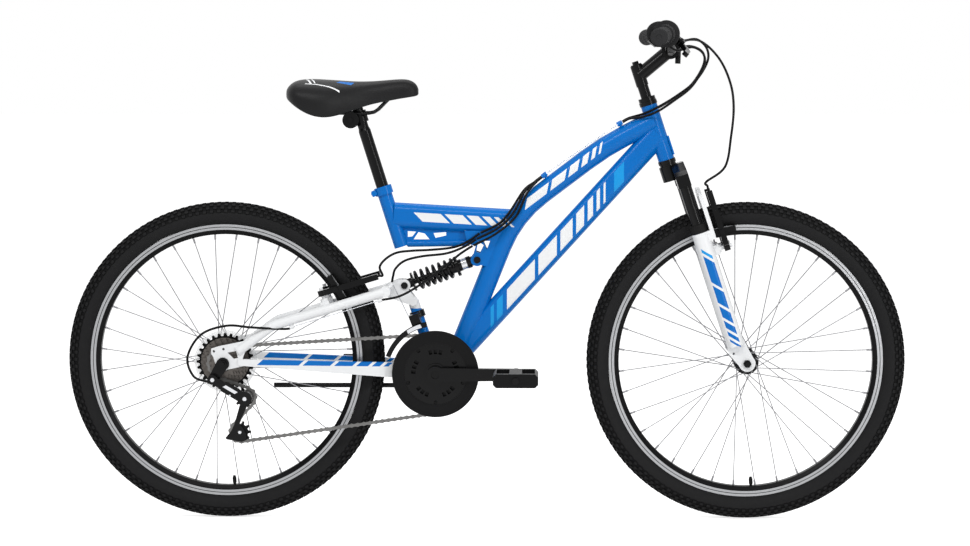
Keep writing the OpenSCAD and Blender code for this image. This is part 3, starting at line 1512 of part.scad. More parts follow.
// Height over the brake posts, and place along the steering axis, of the wire across the arms
arm_mid_x = arm_gap_x + arm_t / 2;
front_brake_lead = [
  bar_point(perch_end, true), bar_point(perch_end - [0, 0, 20], true), [440, 52, 985], [478, 20,
    950], [500, -10, 900],
  [506, -30, 850], [500, -44, 790], [488, -50, 730], fork_point([arm_mid_x, -50, arm_len + 26]),
  fork_point([arm_mid_x, -40, arm_len + 17]), fork_point([arm_mid_x, -28, arm_len + 9]),
  fork_point([arm_mid_x, -18, arm_len])];

module front_brake_cable() {
  end = arm_top_y - 6 - free_gap;
  color("black") {
    swept(curve(front_brake_lead, 2), housing_r);
    rod(fork_point([arm_mid_x, -18, arm_len]), fork_point([arm_mid_x, end, arm_len]), wire_r);
  }
}

// Places where the housings leave the main frame
frame_ends = [[-24, -33, 568], [-17, -29, 581], [-10, -24, 593]];
frame_turn = pivot_pos + [122.5, 0, 279];
frame_swing = [[0, -36, -8], [0, -29, 0], [0, -20, 8]];
function frame_lead(i) = mix(frame_ends[i], frame_turn + frame_swing[i], 0.5);
function frame_next(i) = frame_ends[i] + 2 * unit(frame_ends[i] - frame_lead(i));

module frame_cables() {
  color("black") for (i = [0:2]) {
    a = cable_turns[i];
    rod(tube_spot(0, front_stop_t, a), tube_spot(1, rear_stop_t, a) + tube_dir(1) * stop_len, wire_r);
    lift = [cos(a - 62), sin(a - 62)] * cable_lift;
    swept(curve([tube_spot(1, rear_stop_t, a), tube_spot(1, rear_stop_t + 0.08, a - 6),
      tube_spot(1, rear_stop_t + 0.2, a - 30), frame_turn + [-0.79 * lift[0], lift[1], 0.61 * lift[0]],
      frame_lead(i), frame_ends[i]], 2), housing_r);
  }
}

rear_arm_mid_x = rear_arm_x + arm_t / 2;
shift_end_t = 0.03;
stay_drop = seatstay_d / 2 + 4;
function stay_under(t) = let (p = mix(stay_top_front, stay_top_bend, t))
  [p[0], -p[1], p[2]] - boss_up * stay_drop;
shift_stop_t = 0.82;
fd_stop = yoke_pos + [14, -29, 16];
fd_anchor = bb_pos + [-56, -40, 117];

suspension_routes = [
  [frame_next(2), [-38, -22, 574], [-66, -21, 563], [-110, -21, 558], [-150, -21, 556], [-182, -23, 552],
    [-204, -31, 540], [-216, -38, 524], boss_point([rear_arm_mid_x, -38, arm_len + 16]),
    boss_point([rear_arm_mid_x, -27, arm_len + 8]), boss_point([rear_arm_mid_x, -18, arm_len])],
  [frame_next(1), [-45, -28, 564], [-80, -27, 551], [-130, -27, 545], [-165, -28, 536], [-184, -29, 520],
    [-189, -29, 505], fd_stop + [-1, 0, 3]],
  [frame_next(0), [-52, -33, 550], [-92, -33, 518], [-135, -35, 486], [-175, -38, 464],
    stay_under(shift_end_t)]];

module suspension_cables() {
  end = arm_top_y - 6 - free_gap;
  color("black") {
    for (p = suspension_routes) swept(curve(p, 2), housing_r);
    rod(boss_point([rear_arm_mid_x, -18, arm_len]), boss_point([rear_arm_mid_x, end, arm_len]), wire_r);
  }
}

shift_loop = [
  stay_under(shift_stop_t), stay_under(shift_stop_t + 0.08), rear_axle_pos + [60, -84, 76],
    rear_axle_pos + [10, -90, 80],
  rear_axle_pos + [-42, -92, 62], rear_axle_pos + [-70, -92, 16], rear_axle_pos + [-58, -90, -24],
  hanger_pos + [-9, -88, -4]];

module rear_cables() {
  color("black") {
    rod(stay_under(shift_end_t), stay_under(shift_stop_t), wire_r);
    swept(curve(shift_loop, 2), housing_r);
    rod(fd_stop, fd_anchor, wire_r);
  }
}

main_frame();
pivot_axle();
headset_cups();
seat_clamp();
frame_cables();
fork_steerer();
stanchions();
fork_springs();
stem();
handlebar();
grips();
bar_clamps();
steering_cables();
front_brake_cable();
fork_lowers();
fork_seals();
front_axle();
front_tyre();
front_rim();
front_spokes();
front_hub();
rear_triangle();
bb_cups();
front_derailleur();
rear_derailleur();
chain();
rear_axle();
kickstand_bracket();
rear_cables();
suspension_cables();
crank_axles();
crank_arms();
chainrings();
chain_guard();
pedal_right();
pedal_left();
freewheel();
rear_tyre();
rear_rim();
rear_spokes();
rear_hub();
spoke_protector();
shock_body();
shock_shaft();
shock_spring();
seatpost();
saddle();
saddle_rails();
brake_lever_right();
brake_lever_left();
front_brake_right();
front_brake_left();
rear_brake_right();
rear_brake_left();
kickstand_leg();
twist_grip_right();
twist_grip_left();
guide_pulley();
tension_pulley();
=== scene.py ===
"""Looks of the mountain bike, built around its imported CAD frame. Every length is in metres."""
import json
import math

import bmesh
import bpy
import numpy as np
from mathutils import Matrix, Vector


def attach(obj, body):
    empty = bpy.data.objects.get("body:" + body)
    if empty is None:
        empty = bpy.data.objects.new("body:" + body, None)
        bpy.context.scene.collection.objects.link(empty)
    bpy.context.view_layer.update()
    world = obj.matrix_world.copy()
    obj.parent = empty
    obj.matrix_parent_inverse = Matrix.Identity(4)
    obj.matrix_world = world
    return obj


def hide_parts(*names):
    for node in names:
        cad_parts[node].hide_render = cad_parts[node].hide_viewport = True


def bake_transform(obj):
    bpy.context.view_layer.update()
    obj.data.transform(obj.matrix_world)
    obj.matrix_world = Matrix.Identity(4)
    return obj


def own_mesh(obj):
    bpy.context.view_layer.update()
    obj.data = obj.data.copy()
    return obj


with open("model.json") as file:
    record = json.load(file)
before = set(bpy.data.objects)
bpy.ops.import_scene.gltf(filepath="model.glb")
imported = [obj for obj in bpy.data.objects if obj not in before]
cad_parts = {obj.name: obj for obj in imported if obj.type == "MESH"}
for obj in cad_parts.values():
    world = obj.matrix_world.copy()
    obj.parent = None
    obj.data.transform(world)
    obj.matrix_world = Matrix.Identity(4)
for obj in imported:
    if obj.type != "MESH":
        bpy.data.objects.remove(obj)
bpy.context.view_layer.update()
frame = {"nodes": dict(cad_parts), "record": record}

MM = 0.001
FRONT_AXLE = np.array([0.5355, 0.0, 0.328])
REAR_AXLE = np.array([-0.5355, 0.0, 0.328])
BB = np.array([-0.1015, 0.0, 0.306])
HEAD_TILT = math.radians(18)
STEER = np.array([0.371, 0.0, 0.7419])
STEER_X = np.array([math.cos(HEAD_TILT), 0.0, math.sin(HEAD_TILT)])
STEER_Z = np.array([-math.sin(HEAD_TILT), 0.0, math.cos(HEAD_TILT)])
HOUSING_R = 0.0025
WIRE_R = 0.0009
# A tyre's section: its radius, and its centre's distance from the axle
SECTION_R, SECTION_AT = 0.025, 0.303
# The fork legs' place in the steering frame, in millimetres
LEG_X, LEG_Y = 18, 58
SHOCK_LOW, SHOCK_TOP = np.array([-0.1665, 0, 0.484]), np.array([-0.017, 0, 0.537])
SHOCK_DIR = (SHOCK_TOP - SHOCK_LOW) / np.linalg.norm(SHOCK_TOP - SHOCK_LOW)


def on_steer(x, y, z):
    """A point given in millimetres along the steering frame."""
    return STEER + MM * (x * STEER_X + z * STEER_Z) + np.array([0.0, y * MM, 0.0])


# Camera, on the bike's right
CAMERA_AT = (0.1182, -5.5, 0.987)
YAW, PITCH, ROLL = (math.radians(v) for v in (-1.243, 4.972, -0.056))
FOCAL_PX, FRAME_PX, SENSOR = 2679.0, 970.0, 36.0


def make_camera():
    data = bpy.data.cameras.new("camera")
    data.sensor_fit = "HORIZONTAL"
    data.sensor_width = SENSOR
    data.lens = FOCAL_PX / FRAME_PX * SENSOR
    data.clip_end = 100.0
    cam = bpy.data.objects.new("camera", data)
    level = math.cos(PITCH)
    ahead = Vector((math.sin(YAW) * level, math.cos(YAW) * level, -math.sin(PITCH)))
    side = Vector((math.cos(YAW), -math.sin(YAW), 0.0))
    up = side.cross(ahead)
    right = math.cos(ROLL) * side + math.sin(ROLL) * up
    top = -math.sin(ROLL) * side + math.cos(ROLL) * up
    turn = Matrix((right, top, -ahead)).transposed()
    cam.matrix_world = Matrix.Translation(CAMERA_AT) @ turn.to_4x4()
    bpy.context.scene.collection.objects.link(cam)
    bpy.context.scene.camera = cam


# Node graph helpers
class Graph:
    """A material's node tree with short calls for the nodes used here."""

    def __init__(self, name):
        self.material = bpy.data.materials.new(name)
        self.material.use_nodes = True
        self.tree = self.material.node_tree
        self.shader = self.tree.nodes["Principled BSDF"]
        self.place = self.tree.nodes.new("ShaderNodeTexCoord").outputs["Object"]

    def join(self, value, socket):
        if isinstance(value, bpy.types.NodeSocket):
            self.tree.links.new(value, socket)
        else:
            socket.default_value = value

    def math(self, kind, a, b=0.0, c=0.0):
        n = self.tree.nodes.new("ShaderNodeMath")
        n.operation = kind
        for value, socket in zip((a, b, c), n.inputs):
            self.join(value, socket)
        return n.outputs[0]

    def dot(self, direction):
        n = self.tree.nodes.new("ShaderNodeVectorMath")
        n.operation = "DOT_PRODUCT"
        self.join(self.place, n.inputs[0])
        n.inputs[1].default_value = tuple(direction)
        return n.outputs["Value"]

    def noise(self, scale, detail=3.0):
        n = self.tree.nodes.new("ShaderNodeTexNoise")
        self.join(self.place, n.inputs["Vector"])
        n.inputs["Scale"].default_value = scale
        n.inputs["Detail"].default_value = detail
        return n.outputs["Fac"]

    def cells(self, scale):
        n = self.tree.nodes.new("ShaderNodeTexVoronoi")
        n.feature = "F1"
        self.join(self.place, n.inputs["Vector"])
        n.inputs["Scale"].default_value = scale
        return n.outputs["Distance"]

    def spread(self, value, low, high):
        """A 0 to 1 value spread from low to high."""
        n = self.tree.nodes.new("ShaderNodeMapRange")
        self.join(value, n.inputs["Value"])
        n.inputs["To Min"].default_value = low
        n.inputs["To Max"].default_value = high
        return n.outputs["Result"]

    def mix(self, factor, a, b):
        n = self.tree.nodes.new("ShaderNodeMix")
        n.data_type = "RGBA"
        self.join(factor, n.inputs["Factor"])
        for value, key in ((a, "A_Color"), (b, "B_Color")):
            socket = next(s for s in n.inputs if s.identifier == key)
            self.join(value if isinstance(value, bpy.types.NodeSocket) else (*value, 1.0), socket)
        return next(s for s in n.outputs if s.identifier == "Result_Color")

    def polygon(self, points):
        """1 inside a convex outline of X and Z, given anticlockwise, on both sides of the bike."""
        inside = None
        for (x0, z0), (x1, z1) in zip(points, points[1:] + points[:1]):
            nx, nz = -(z1 - z0), x1 - x0
            edge = self.math("GREATER_THAN", self.dot((nx, 0, nz)), nx * x0 + nz * z0)
            inside = edge if inside is None else self.math("MINIMUM", inside, edge)
        return inside

    def any_of(self, masks):
        """1 where any mask is."""
        found = masks[0]
        for m in masks[1:]:
            found = self.math("MAXIMUM", found, m)
        return found

    def within(self, value, low, high):
        """1 where a value lies from low to high."""
        return self.math("MULTIPLY", self.math("GREATER_THAN", value, low),
                         self.math("LESS_THAN", value, high))

    def radius(self, centre):
        """Distance from a wheel's axle."""
        n = self.tree.nodes.new("ShaderNodeVectorMath")
        n.operation = "SUBTRACT"
        self.join(self.place, n.inputs[0])
        n.inputs[1].default_value = tuple(centre)
        flat = self.tree.nodes.new("ShaderNodeVectorMath")
        flat.operation = "MULTIPLY"
        self.join(n.outputs[0], flat.inputs[0])
        flat.inputs[1].default_value = (1, 0, 1)
        length = self.tree.nodes.new("ShaderNodeVectorMath")
        length.operation = "LENGTH"
        self.join(flat.outputs[0], length.inputs[0])
        return length.outputs["Value"]

    def bump(self, height, distance):
        n = self.tree.nodes.new("ShaderNodeBump")
        n.inputs["Strength"].default_value = 1.0
        n.inputs["Distance"].default_value = distance
        self.join(height, n.inputs["Height"])
        self.tree.links.new(n.outputs[0], self.shader.inputs["Normal"])

    def set(self, **values):
        for key, value in values.items():
            self.join(value, self.shader.inputs[key.replace("_", " ")])


def worn(g, color, amount=0.12, scale=9.0):
    """A colour with soft changes of tone."""
    dark = tuple(c * (1 - amount) for c in color)
    light = tuple(min(1.0, c * (1 + amount)) for c in color)
    return g.mix(g.noise(scale), dark, light)


def plain(name, color, rough=(0.3, 0.45), metal=0.0, shine=0.1, tone=0.12):
    """One colour with soft changes of tone, gloss and surface; shine sets its reflections."""
    g = Graph(name)
    g.set(Base_Color=worn(g, color, tone), Metallic=metal, Specular_IOR_Level=shine)
    g.set(Roughness=g.spread(g.noise(60.0, 4.0), *rough))
    g.bump(g.noise(900.0, 2.0), 0.00002)
    return g


def strip(a, b, low, high, slant=0.0):
    """Corners of a band along the line a to b, low to high across it; its ends lean by slant."""
    a, b = np.array(a, float), np.array(b, float)
    d = (b - a) / np.linalg.norm(b - a)
    n = np.array([-d[1], d[0]])
    corners = [a + d * slant * low + n * low, b + d * slant * low + n * low,
               b + d * slant * high + n * high, a + d * slant * high + n * high]
    return [tuple(c) for c in corners]


def along(a, b, s):
    """The point at a distance s from a toward b."""
    a, b = np.array(a, float), np.array(b, float)
    return tuple(a + (b - a) / np.linalg.norm(b - a) * s)


BLUE = (0.001, 0.142, 0.50)
LIGHT_BLUE = (0.012, 0.30, 0.70)
WHITE = (0.80, 0.81, 0.82)
BLACK = (0.0025, 0.0025, 0.0028)
PAINT_SHINE = 0.14

# Ends of the painted stretches, in X and Z: down tube, main tube and upper beam
DOWN_A, DOWN_B = (-0.0565, 0.344), (0.3537, 0.7952)
MAIN_A, MAIN_B = (0.0585, 0.629), (0.244, 0.769)
BEAM_A, BEAM_B = (-0.188, 0.628), (0.0515, 0.614)


def bars(g, a, b, first, widths, gap, low, high, slant):
    """A row of slanted bars along the line a to b, with one gap between each and the next."""
    masks, at = [], first
    for w in widths:
        masks.append(g.polygon(strip(along(a, b, at), along(a, b, at + w), low, high, slant)))
        at += w + gap
    return g.any_of(masks)


def painted(g, color):
    """Gloss paint over the given colour."""
    g.set(Base_Color=color, Specular_IOR_Level=PAINT_SHINE)
    g.set(Roughness=g.spread(g.noise(40.0), 0.16, 0.24))
    g.bump(g.noise(260.0, 1.0), 0.00002)
    return g.material


# Widths of a row's bars, and how far their ends lean
FALLING = (0.085, 0.056, 0.037, 0.024, 0.016, 0.010, 0.006)
LEAN = 1.1


def frame_paint():
    """Gloss blue with rows of slanted bars that grow narrower along each tube."""
    g = Graph("frame_paint")
    white = g.any_of([bars(g, DOWN_A, DOWN_B, 0.15, FALLING, 0.011, -0.014, 0.014, LEAN),
                      bars(g, MAIN_A, MAIN_B, 0.03, FALLING[1:], 0.009, -0.005, 0.011, LEAN),
                      bars(g, BEAM_A, BEAM_B, 0.05, FALLING[1:], 0.008, -0.009, 0.009, -LEAN)])
    light = g.any_of([bars(g, DOWN_A, DOWN_B, 0.476, (0.03,), 0.01, -0.014, 0.014, LEAN),
                      bars(g, DOWN_A, DOWN_B, 0.10, (0.01, 0.018), 0.009, -0.014, 0.014, LEAN)])
    color = g.mix(white, worn(g, BLUE, 0.10), WHITE)
    return painted(g, g.mix(light, color, LIGHT_BLUE))


def swingarm_paint():
    """Gloss white with a blue strut and a row of blue bars on the chainstays."""
    g = Graph("swingarm_paint")
    blue = bars(g, (-0.46, 0.331), (-0.20, 0.3255), 0.0, FALLING, 0.008, -0.006, 0.006, LEAN)
    strut = g.polygon([(-0.19, 0.335), (-0.08, 0.335), (-0.10, 0.436), (-0.19, 0.436)])
    return painted(g, g.mix(g.any_of([blue, strut]), worn(g, WHITE, 0.04), BLUE))


def fork_paint():
    """Gloss white with slanted blue bars down each leg."""
    g = Graph("fork_paint")
    band, start, end = (tuple(on_steer(LEG_X, 0, z)[[0, 2]]) for z in (-200, -215, -340))
    blue = bars(g, start, end, 0.0, FALLING[1:], 0.007, -0.009, 0.009, LEAN)
    light = bars(g, band, end, 0.0, (0.008,), 0.01, -0.009, 0.009, LEAN)
    color = g.mix(blue, worn(g, WHITE, 0.04), BLUE)
    return painted(g, g.mix(light, color, LIGHT_BLUE))


# Radii of a rim's brake track and of the wear line in it
TRACK, WEAR_LINE = (0.2705, 0.2815), (0.2752, 0.2766)
RIM_SILVER = (0.34, 0.345, 0.355)


def rim_metal(name, axle):
    """Black anodised rim with a turned silver brake track and its wear line."""
    g = Graph(name)
    r = g.radius(axle)
    plain_track = g.math("SUBTRACT", 1.0, g.within(r, *WEAR_LINE))
    bright = g.math("MULTIPLY", g.within(r, *TRACK), plain_track)
    turned = g.math("SINE", g.math("MULTIPLY", r, 9000.0))
    g.set(Base_Color=g.mix(bright, worn(g, BLACK), RIM_SILVER))
    g.set(Metallic=bright, Specular_IOR_Level=0.1)
    g.set(Roughness=g.spread(g.noise(80.0), 0.26, 0.40))
    g.bump(g.math("MULTIPLY", turned, bright), 0.00003)
    return g.material


# Depth of a knob's top that is painted greyer as a highlight, and the radius where the side wall
# ends
KNOB_TOP, WALL_END = 0.0009, 0.306
# Black rubber, and the greyer rubber of the knob tops' painted highlight and of the side walls
RUBBER, GREYER_RUBBER = (0.0025, 0.0025, 0.0027), (0.011, 0.011, 0.0115)


def tyre_rubber(name, axle):
    """Black rubber: greyer on the tops of the knobs as a painted highlight, greyer and finely
    ribbed on the side walls.
    """
    g = Graph(name)
    r = g.radius(axle)
    out = g.math("SUBTRACT", r, SECTION_AT)
    side = g.dot((0, 1, 0))
    squares = g.math("ADD", g.math("MULTIPLY", out, out), g.math("MULTIPLY", side, side))
    # The knob tops are painted greyer: a painted highlight
    top = g.math("GREATER_THAN", g.math("SQRT", squares), SECTION_R - KNOB_TOP)
    wall = g.math("LESS_THAN", r, WALL_END)
    ribs = g.math("MULTIPLY", g.math("SINE", g.math("MULTIPLY", r, 4200.0)), wall)
    # Greyer colour: a painted highlight on the knob tops, and the greyer side walls
    color = g.mix(g.any_of([top, wall]), worn(g, RUBBER, 0.3, 25.0), GREYER_RUBBER)
    g.set(Base_Color=color, Specular_IOR_Level=0.12)
    g.set(Roughness=g.spread(g.noise(90.0), 0.6, 0.8))
    g.bump(g.math("ADD", g.math("MULTIPLY", ribs, 0.5), g.noise(1400.0)), 0.0001)
    return g.material


def grained(name, color, rough, pits, depth):
    """Moulded or sewn surface with a fine cell grain."""
    g = Graph(name)
    g.set(Base_Color=worn(g, color, 0.25, 14.0), Specular_IOR_Level=0.12)
    g.set(Roughness=g.spread(g.noise(70.0), *rough))
    g.bump(g.cells(pits), depth)
    return g


# Height above which the saddle's bands show
BANDS_ABOVE = 0.880


def saddle_leather():
    """Black cover with a fine grain and plain white and blue bands over its rear."""
    g = grained("saddle_leather", (0.010, 0.010, 0.0105), (0.34, 0.46), 700.0, 0.00008)
    x, y = g.dot((1, 0, 0)), g.math("ABSOLUTE", g.dot((0, 1, 0)))
    top = g.math("GREATER_THAN", g.dot((0, 0, 1)), BANDS_ABOVE)

    def band(low, high, inner, outer, lean):
        at = g.math("ADD", x, g.math("MULTIPLY", y, lean))
        found = g.math("MINIMUM", g.within(at, low, high), g.within(y, inner, outer))
        return g.math("MINIMUM", found, top)

    white = [band(-0.372, -0.368, 0.018, 0.056, -0.3), band(-0.362, -0.359, 0.018, 0.050, -0.3),
             band(-0.36, -0.29, 0.0535, 0.056, 0.1)]
    blue = [band(-0.286, -0.256, 0.022, 0.034, 0.5)]
    old = g.shader.inputs["Base Color"].links[0].from_socket
    color = g.mix(g.any_of(white), old, WHITE)
    g.set(Base_Color=g.mix(g.any_of(blue), color, BLUE))
    return g.material


def clear_plastic():
    """Thin clear disc behind the sprockets."""
    g = Graph("clear_plastic")
    g.set(Base_Color=worn(g, (0.86, 0.87, 0.88), 0.03), Alpha=0.38)
    g.set(Roughness=g.spread(g.noise(50.0), 0.15, 0.3))
    g.bump(g.noise(400.0), 0.00003)
    return g.material


BIG_COG_FROM = 0.0495


def cog_steel():
    """Black outer sprocket over greyer small ones."""
    g = plain("cog_steel", (0.11, 0.10, 0.092), (0.32, 0.5), metal=0.9, tone=0.35)
    grey = g.shader.inputs["Base Color"].links[0].from_socket
    outer = g.math("GREATER_THAN", g.radius(REAR_AXLE), BIG_COG_FROM)
    g.set(Base_Color=g.mix(outer, grey, (0.008, 0.008, 0.008)))
    return g.material


# The collar's two ends, from the shock's lower eye
COLLAR = (0.125, 0.136)


def shock_black():
    """Black shock body with one bright collar below its upper eye."""
    g = plain("shock_black", BLACK, (0.16, 0.28), shine=0.14)
    black = g.shader.inputs["Base Color"].links[0].from_socket
    at = g.math("SUBTRACT", g.dot(SHOCK_DIR), float(SHOCK_LOW @ SHOCK_DIR))
    collar = g.within(at, *COLLAR)
    g.set(Base_Color=g.mix(collar, black, (0.55, 0.56, 0.58)), Metallic=collar)
    return g.material


MATERIALS = {
    "frame_paint": frame_paint(),
    "white_paint": swingarm_paint(),
    "fork_paint": fork_paint(),
    "black_paint": plain("black_paint", BLACK, (0.12, 0.2), shine=0.14).material,
    "bare_steel": plain("bare_steel", (0.45, 0.46, 0.48), (0.22, 0.36), metal=1.0).material,
    "spoke_steel": plain("spoke_steel", (0.24, 0.24, 0.25), (0.3, 0.4), metal=1.0).material,
    "hub_metal": plain("hub_metal", (0.012, 0.012, 0.013), (0.28, 0.42), metal=0.3).material,
    "chain_steel": plain("chain_steel", (0.15, 0.148, 0.145), (0.3, 0.45), metal=0.9,
                         tone=0.3).material,
    "cog_steel": cog_steel(),
    "ring_steel": plain("ring_steel", BLACK, (0.2, 0.34), shine=0.12).material,
    "grip_rubber": grained("grip_rubber", (0.022, 0.022, 0.023), (0.6, 0.8), 900.0,
                           0.0001).material,
    "black_plastic": grained("black_plastic", BLACK, (0.32, 0.46), 1400.0, 0.00004).material,
    "clear_plastic": clear_plastic(),
    "saddle_cover": saddle_leather(),
    "cable_housing": plain("cable_housing", BLACK, (0.3, 0.42)).material,
    "black_alloy": plain("black_alloy", BLACK, (0.14, 0.24), shine=0.14).material,
    "silver_alloy": plain("silver_alloy", (0.6, 0.61, 0.63), (0.22, 0.34), metal=1.0).material,
    "seal_rubber": grained("seal_rubber", (0.006, 0.006, 0.006), (0.5, 0.7), 1000.0,
                           0.00006).material,
    "shock_black": shock_black(),
    "front_rim": rim_metal("front_rim_metal", FRONT_AXLE),
    "rear_rim": rim_metal("rear_rim_metal", REAR_AXLE),
    "front_tyre": tyre_rubber("front_tyre_rubber", FRONT_AXLE),
    "rear_tyre": tyre_rubber("rear_tyre_rubber", REAR_AXLE),
}
# Nodes that don't take the material of their slot
OWN_LOOK = {"fork_lowers": "fork_paint", "front_rim": "front_rim", "rear_rim": "rear_rim",
            "freewheel": "cog_steel", "chainrings": "ring_steel", "front_tyre": "front_tyre",
            "rear_tyre": "rear_tyre", "front_spokes": "spoke_steel", "rear_spokes": "spoke_steel",
            "crank_axles": "black_alloy", "front_axle": "black_alloy", "rear_axle": "black_alloy",
            "shock_body": "shock_black", "shock_shaft": "black_paint",
            "saddle_rails": "black_paint"}
SMOOTH_ANGLE = math.radians(35)


def dress_cad():
    """Gives every carried-over node its material."""
    for part in frame["record"]["subparts"]:
        node = part["node"]
        obj = frame["nodes"][node]
        obj.data.materials.clear()
        obj.data.materials.append(MATERIALS[OWN_LOOK.get(node, part["material_slot"])])


# Mesh helpers
def new_piece(name, verts, faces, material, body=None, slot=None, smooth=SMOOTH_ANGLE):
    """A new object whose edges sharper than the smooth angle stay sharp."""
    mesh = bpy.data.meshes.new(name)
    mesh.from_pydata([tuple(float(c) for c in v) for v in verts], [], faces)
    mesh.validate()
    outward = bmesh.new()
    outward.from_mesh(mesh)
    bmesh.ops.recalc_face_normals(outward, faces=outward.faces)
    outward.to_mesh(mesh)
    outward.free()
    mesh.polygons.foreach_set("use_smooth", [True] * len(mesh.polygons))
    mesh.set_sharp_from_angle(angle=smooth)
    mesh.materials.append(MATERIALS[material])
    obj = bpy.data.objects.new(name, mesh)
    bpy.context.scene.collection.objects.link(obj)
    if body:
        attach(obj, body)
    return obj


def catmull(points, k):
    """A smooth curve through the points, k steps to a span."""
    p = np.array(points, float)
    out = []
    for i in range(len(p) - 1):
        a, b, c, d = p[max(i - 1, 0)], p[i], p[i + 1], p[min(i + 2, len(p) - 1)]
        for j in range(k):
            t = j / k
            out.append(0.5 * (2 * b + (c - a) * t + (2 * a - 5 * b + 4 * c - d) * t ** 2
                              + (3 * b - a - 3 * c + d) * t ** 3))
    return np.array(out + [p[-1]])


def sweep(path, radius, sides=12):
    """Vertices and faces of a closed round tube along a path; radius may change along it."""
    path = np.array(path, float)
    radii = np.broadcast_to(radius, len(path))
    tangent = np.gradient(path, axis=0)
    tangent /= np.linalg.norm(tangent, axis=1)[:, None]
    normal = np.cross(tangent[0], (0, 0, 1) if abs(tangent[0][2]) < 0.9 else (1, 0, 0))
    turns = 2 * math.pi * np.arange(sides) / sides
    verts, faces = [], []
    for p, t, r in zip(path, tangent, radii):
        normal = normal - t * (normal @ t)
        normal /= np.linalg.norm(normal)
        other = np.cross(t, normal)
        verts += [p + r * (math.cos(a) * normal + math.sin(a) * other) for a in turns]
    for i in range(len(path) - 1):
        for j in range(sides):
            k = (j + 1) % sides
            faces.append((i * sides + j, i * sides + k, (i + 1) * sides + k, (i + 1) * sides + j))
    last = (len(path) - 1) * sides
    faces.append(tuple(range(sides - 1, -1, -1)))
    faces.append(tuple(range(last, last + sides)))
    return verts, faces


def merged(parts):
    """Several meshes as one."""
    verts, faces = [], []
    for v, f in parts:
        base = len(verts)
        verts += list(v)
        faces += [tuple(base + i for i in face) for face in f]
    return verts, faces


def revolve(profile, centre, axis, side, count):
    """Turns a closed profile of (radius, height) about an axis, in count steps."""
    axis, side = np.array(axis, float), np.array(side, float)
    other = np.cross(axis, side)
    verts, faces = [], []
    n = len(profile)
    for i in range(count):
        a = 2 * math.pi * i / count
        out = math.cos(a) * side + math.sin(a) * other
        verts += [np.array(centre) + r * out + h * axis for r, h in profile]
    for i in range(count):
        k = (i + 1) % count
        for j in range(n):
            m = (j + 1) % n
            faces.append((i * n + j, k * n + j, k * n + m, i * n + m))
    return verts, faces


# Tyres
# Radii of a tyre's section: between its knobs, at its walls and inside
BASE_R, WALL_R, INSIDE_R = 0.0222, 0.0240, 0.021
BEAD_TURN, SHOULDER_TURN = math.radians(149), math.radians(84)
TYRE_STEPS = 160
KNOB_COUNT = 132
KNOB_SHARE, KNOB_TAPER = 0.62, 0.14
# Each row of knobs: its angle around the section, its shift in steps and its width in degrees
KNOB_ROWS = [(-75, 0.5, 13), (-57, 0.0, 12), (-38, 0.5, 11), (-19, 0.0, 10), (0, 0.5, 11),
             (19, 0.0, 10), (38, 0.5, 11), (57, 0.0, 12), (75, 0.5, 13)]
VALVE_TURN = math.radians(-87)
# The valve from the rim inward: distance from the axle and radius
VALVE = [(0.266, 0.003), (0.258, 0.003), (0.2575, 0.0041), (0.2465, 0.0041), (0.246, 0.0034),
         (0.2425, 0.0028)]


def knob(row, start, width):
    """One tread block as eight corners: tapered from its root to its top."""
    corners = []
    for depth, shrink in ((BASE_R - 0.0006, 0.0), (SECTION_R - 0.0002, KNOB_TAPER)):
        for u, v in ((0, 0), (1, 0), (1, 1), (0, 1)):
            share = KNOB_SHARE * u + (shrink * (1 - 2 * u)) * 0.6
            a = start + share * 2 * math.pi / KNOB_COUNT
            b = math.radians(row + (v - 0.5) * width * (1 - shrink))
            corners.append((a, SECTION_AT + depth * math.cos(b), depth * math.sin(b)))
    sides = [(i, (i + 1) % 4, 4 + (i + 1) % 4, 4 + i) for i in range(4)]
    return corners, [(3, 2, 1, 0), (4, 5, 6, 7)] + sides


def make_tyre(name, axle, body):
    """A knobbly tyre with its valve, on a wheel's body."""
    node = body.replace("wheel", "tyre")
    turns = [(a, WALL_R if abs(a) > SHOULDER_TURN else BASE_R)
             for a in np.linspace(-BEAD_TURN, BEAD_TURN, 44)]
    turns += [(a, INSIDE_R) for a in np.linspace(BEAD_TURN, -BEAD_TURN, 16)]
    section = [(SECTION_AT + r * math.cos(a), r * math.sin(a)) for a, r in turns]
    parts = [revolve(section, axle, (0, 1, 0), (1, 0, 0), TYRE_STEPS)]
    for row, shift, width in KNOB_ROWS:
        for i in range(KNOB_COUNT):
            corners, faces = knob(row, (i + shift) * 2 * math.pi / KNOB_COUNT, width)
            verts = [axle + np.array([r * math.cos(a), y, r * math.sin(a)]) for a, r, y in corners]
            parts.append((verts, faces))
    verts, faces = merged(parts)
    obj = new_piece(name, verts, faces, node, body, "tyre")
    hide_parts(node)
    away = np.array([math.cos(VALVE_TURN), 0.0, math.sin(VALVE_TURN)])
    valve = sweep([axle + away * at for at, r in VALVE], [r for at, r in VALVE], 14)
    new_piece(name.replace("tyre", "valve"), *valve, "seal_rubber", body, "seal_rubber")


# Saddle
SADDLE_AT = np.array([-0.407, 0.0, 0.873])
SADDLE_LEN = 0.270
# From the rear to the nose: share of the length, then half width, top and lower edge in millimetres
STATIONS = [
    (0, 30, 12, 0), (0.015, 52, 20, -7), (0.045, 68, 28, -14), (0.093, 79, 34, -25),
    (0.196, 82, 36, -42), (0.315, 76, 34, -47), (0.426, 60, 32, -39), (0.519, 46, 30, -30),
    (0.63, 34, 30, -19), (0.741, 27, 32, -13), (0.859, 23, 35, -7), (0.926, 21, 34, -4),
    (0.97, 17, 28, -2), (0.993, 11, 20, 0), (1, 6, 13, 4)]
FOAM = 32


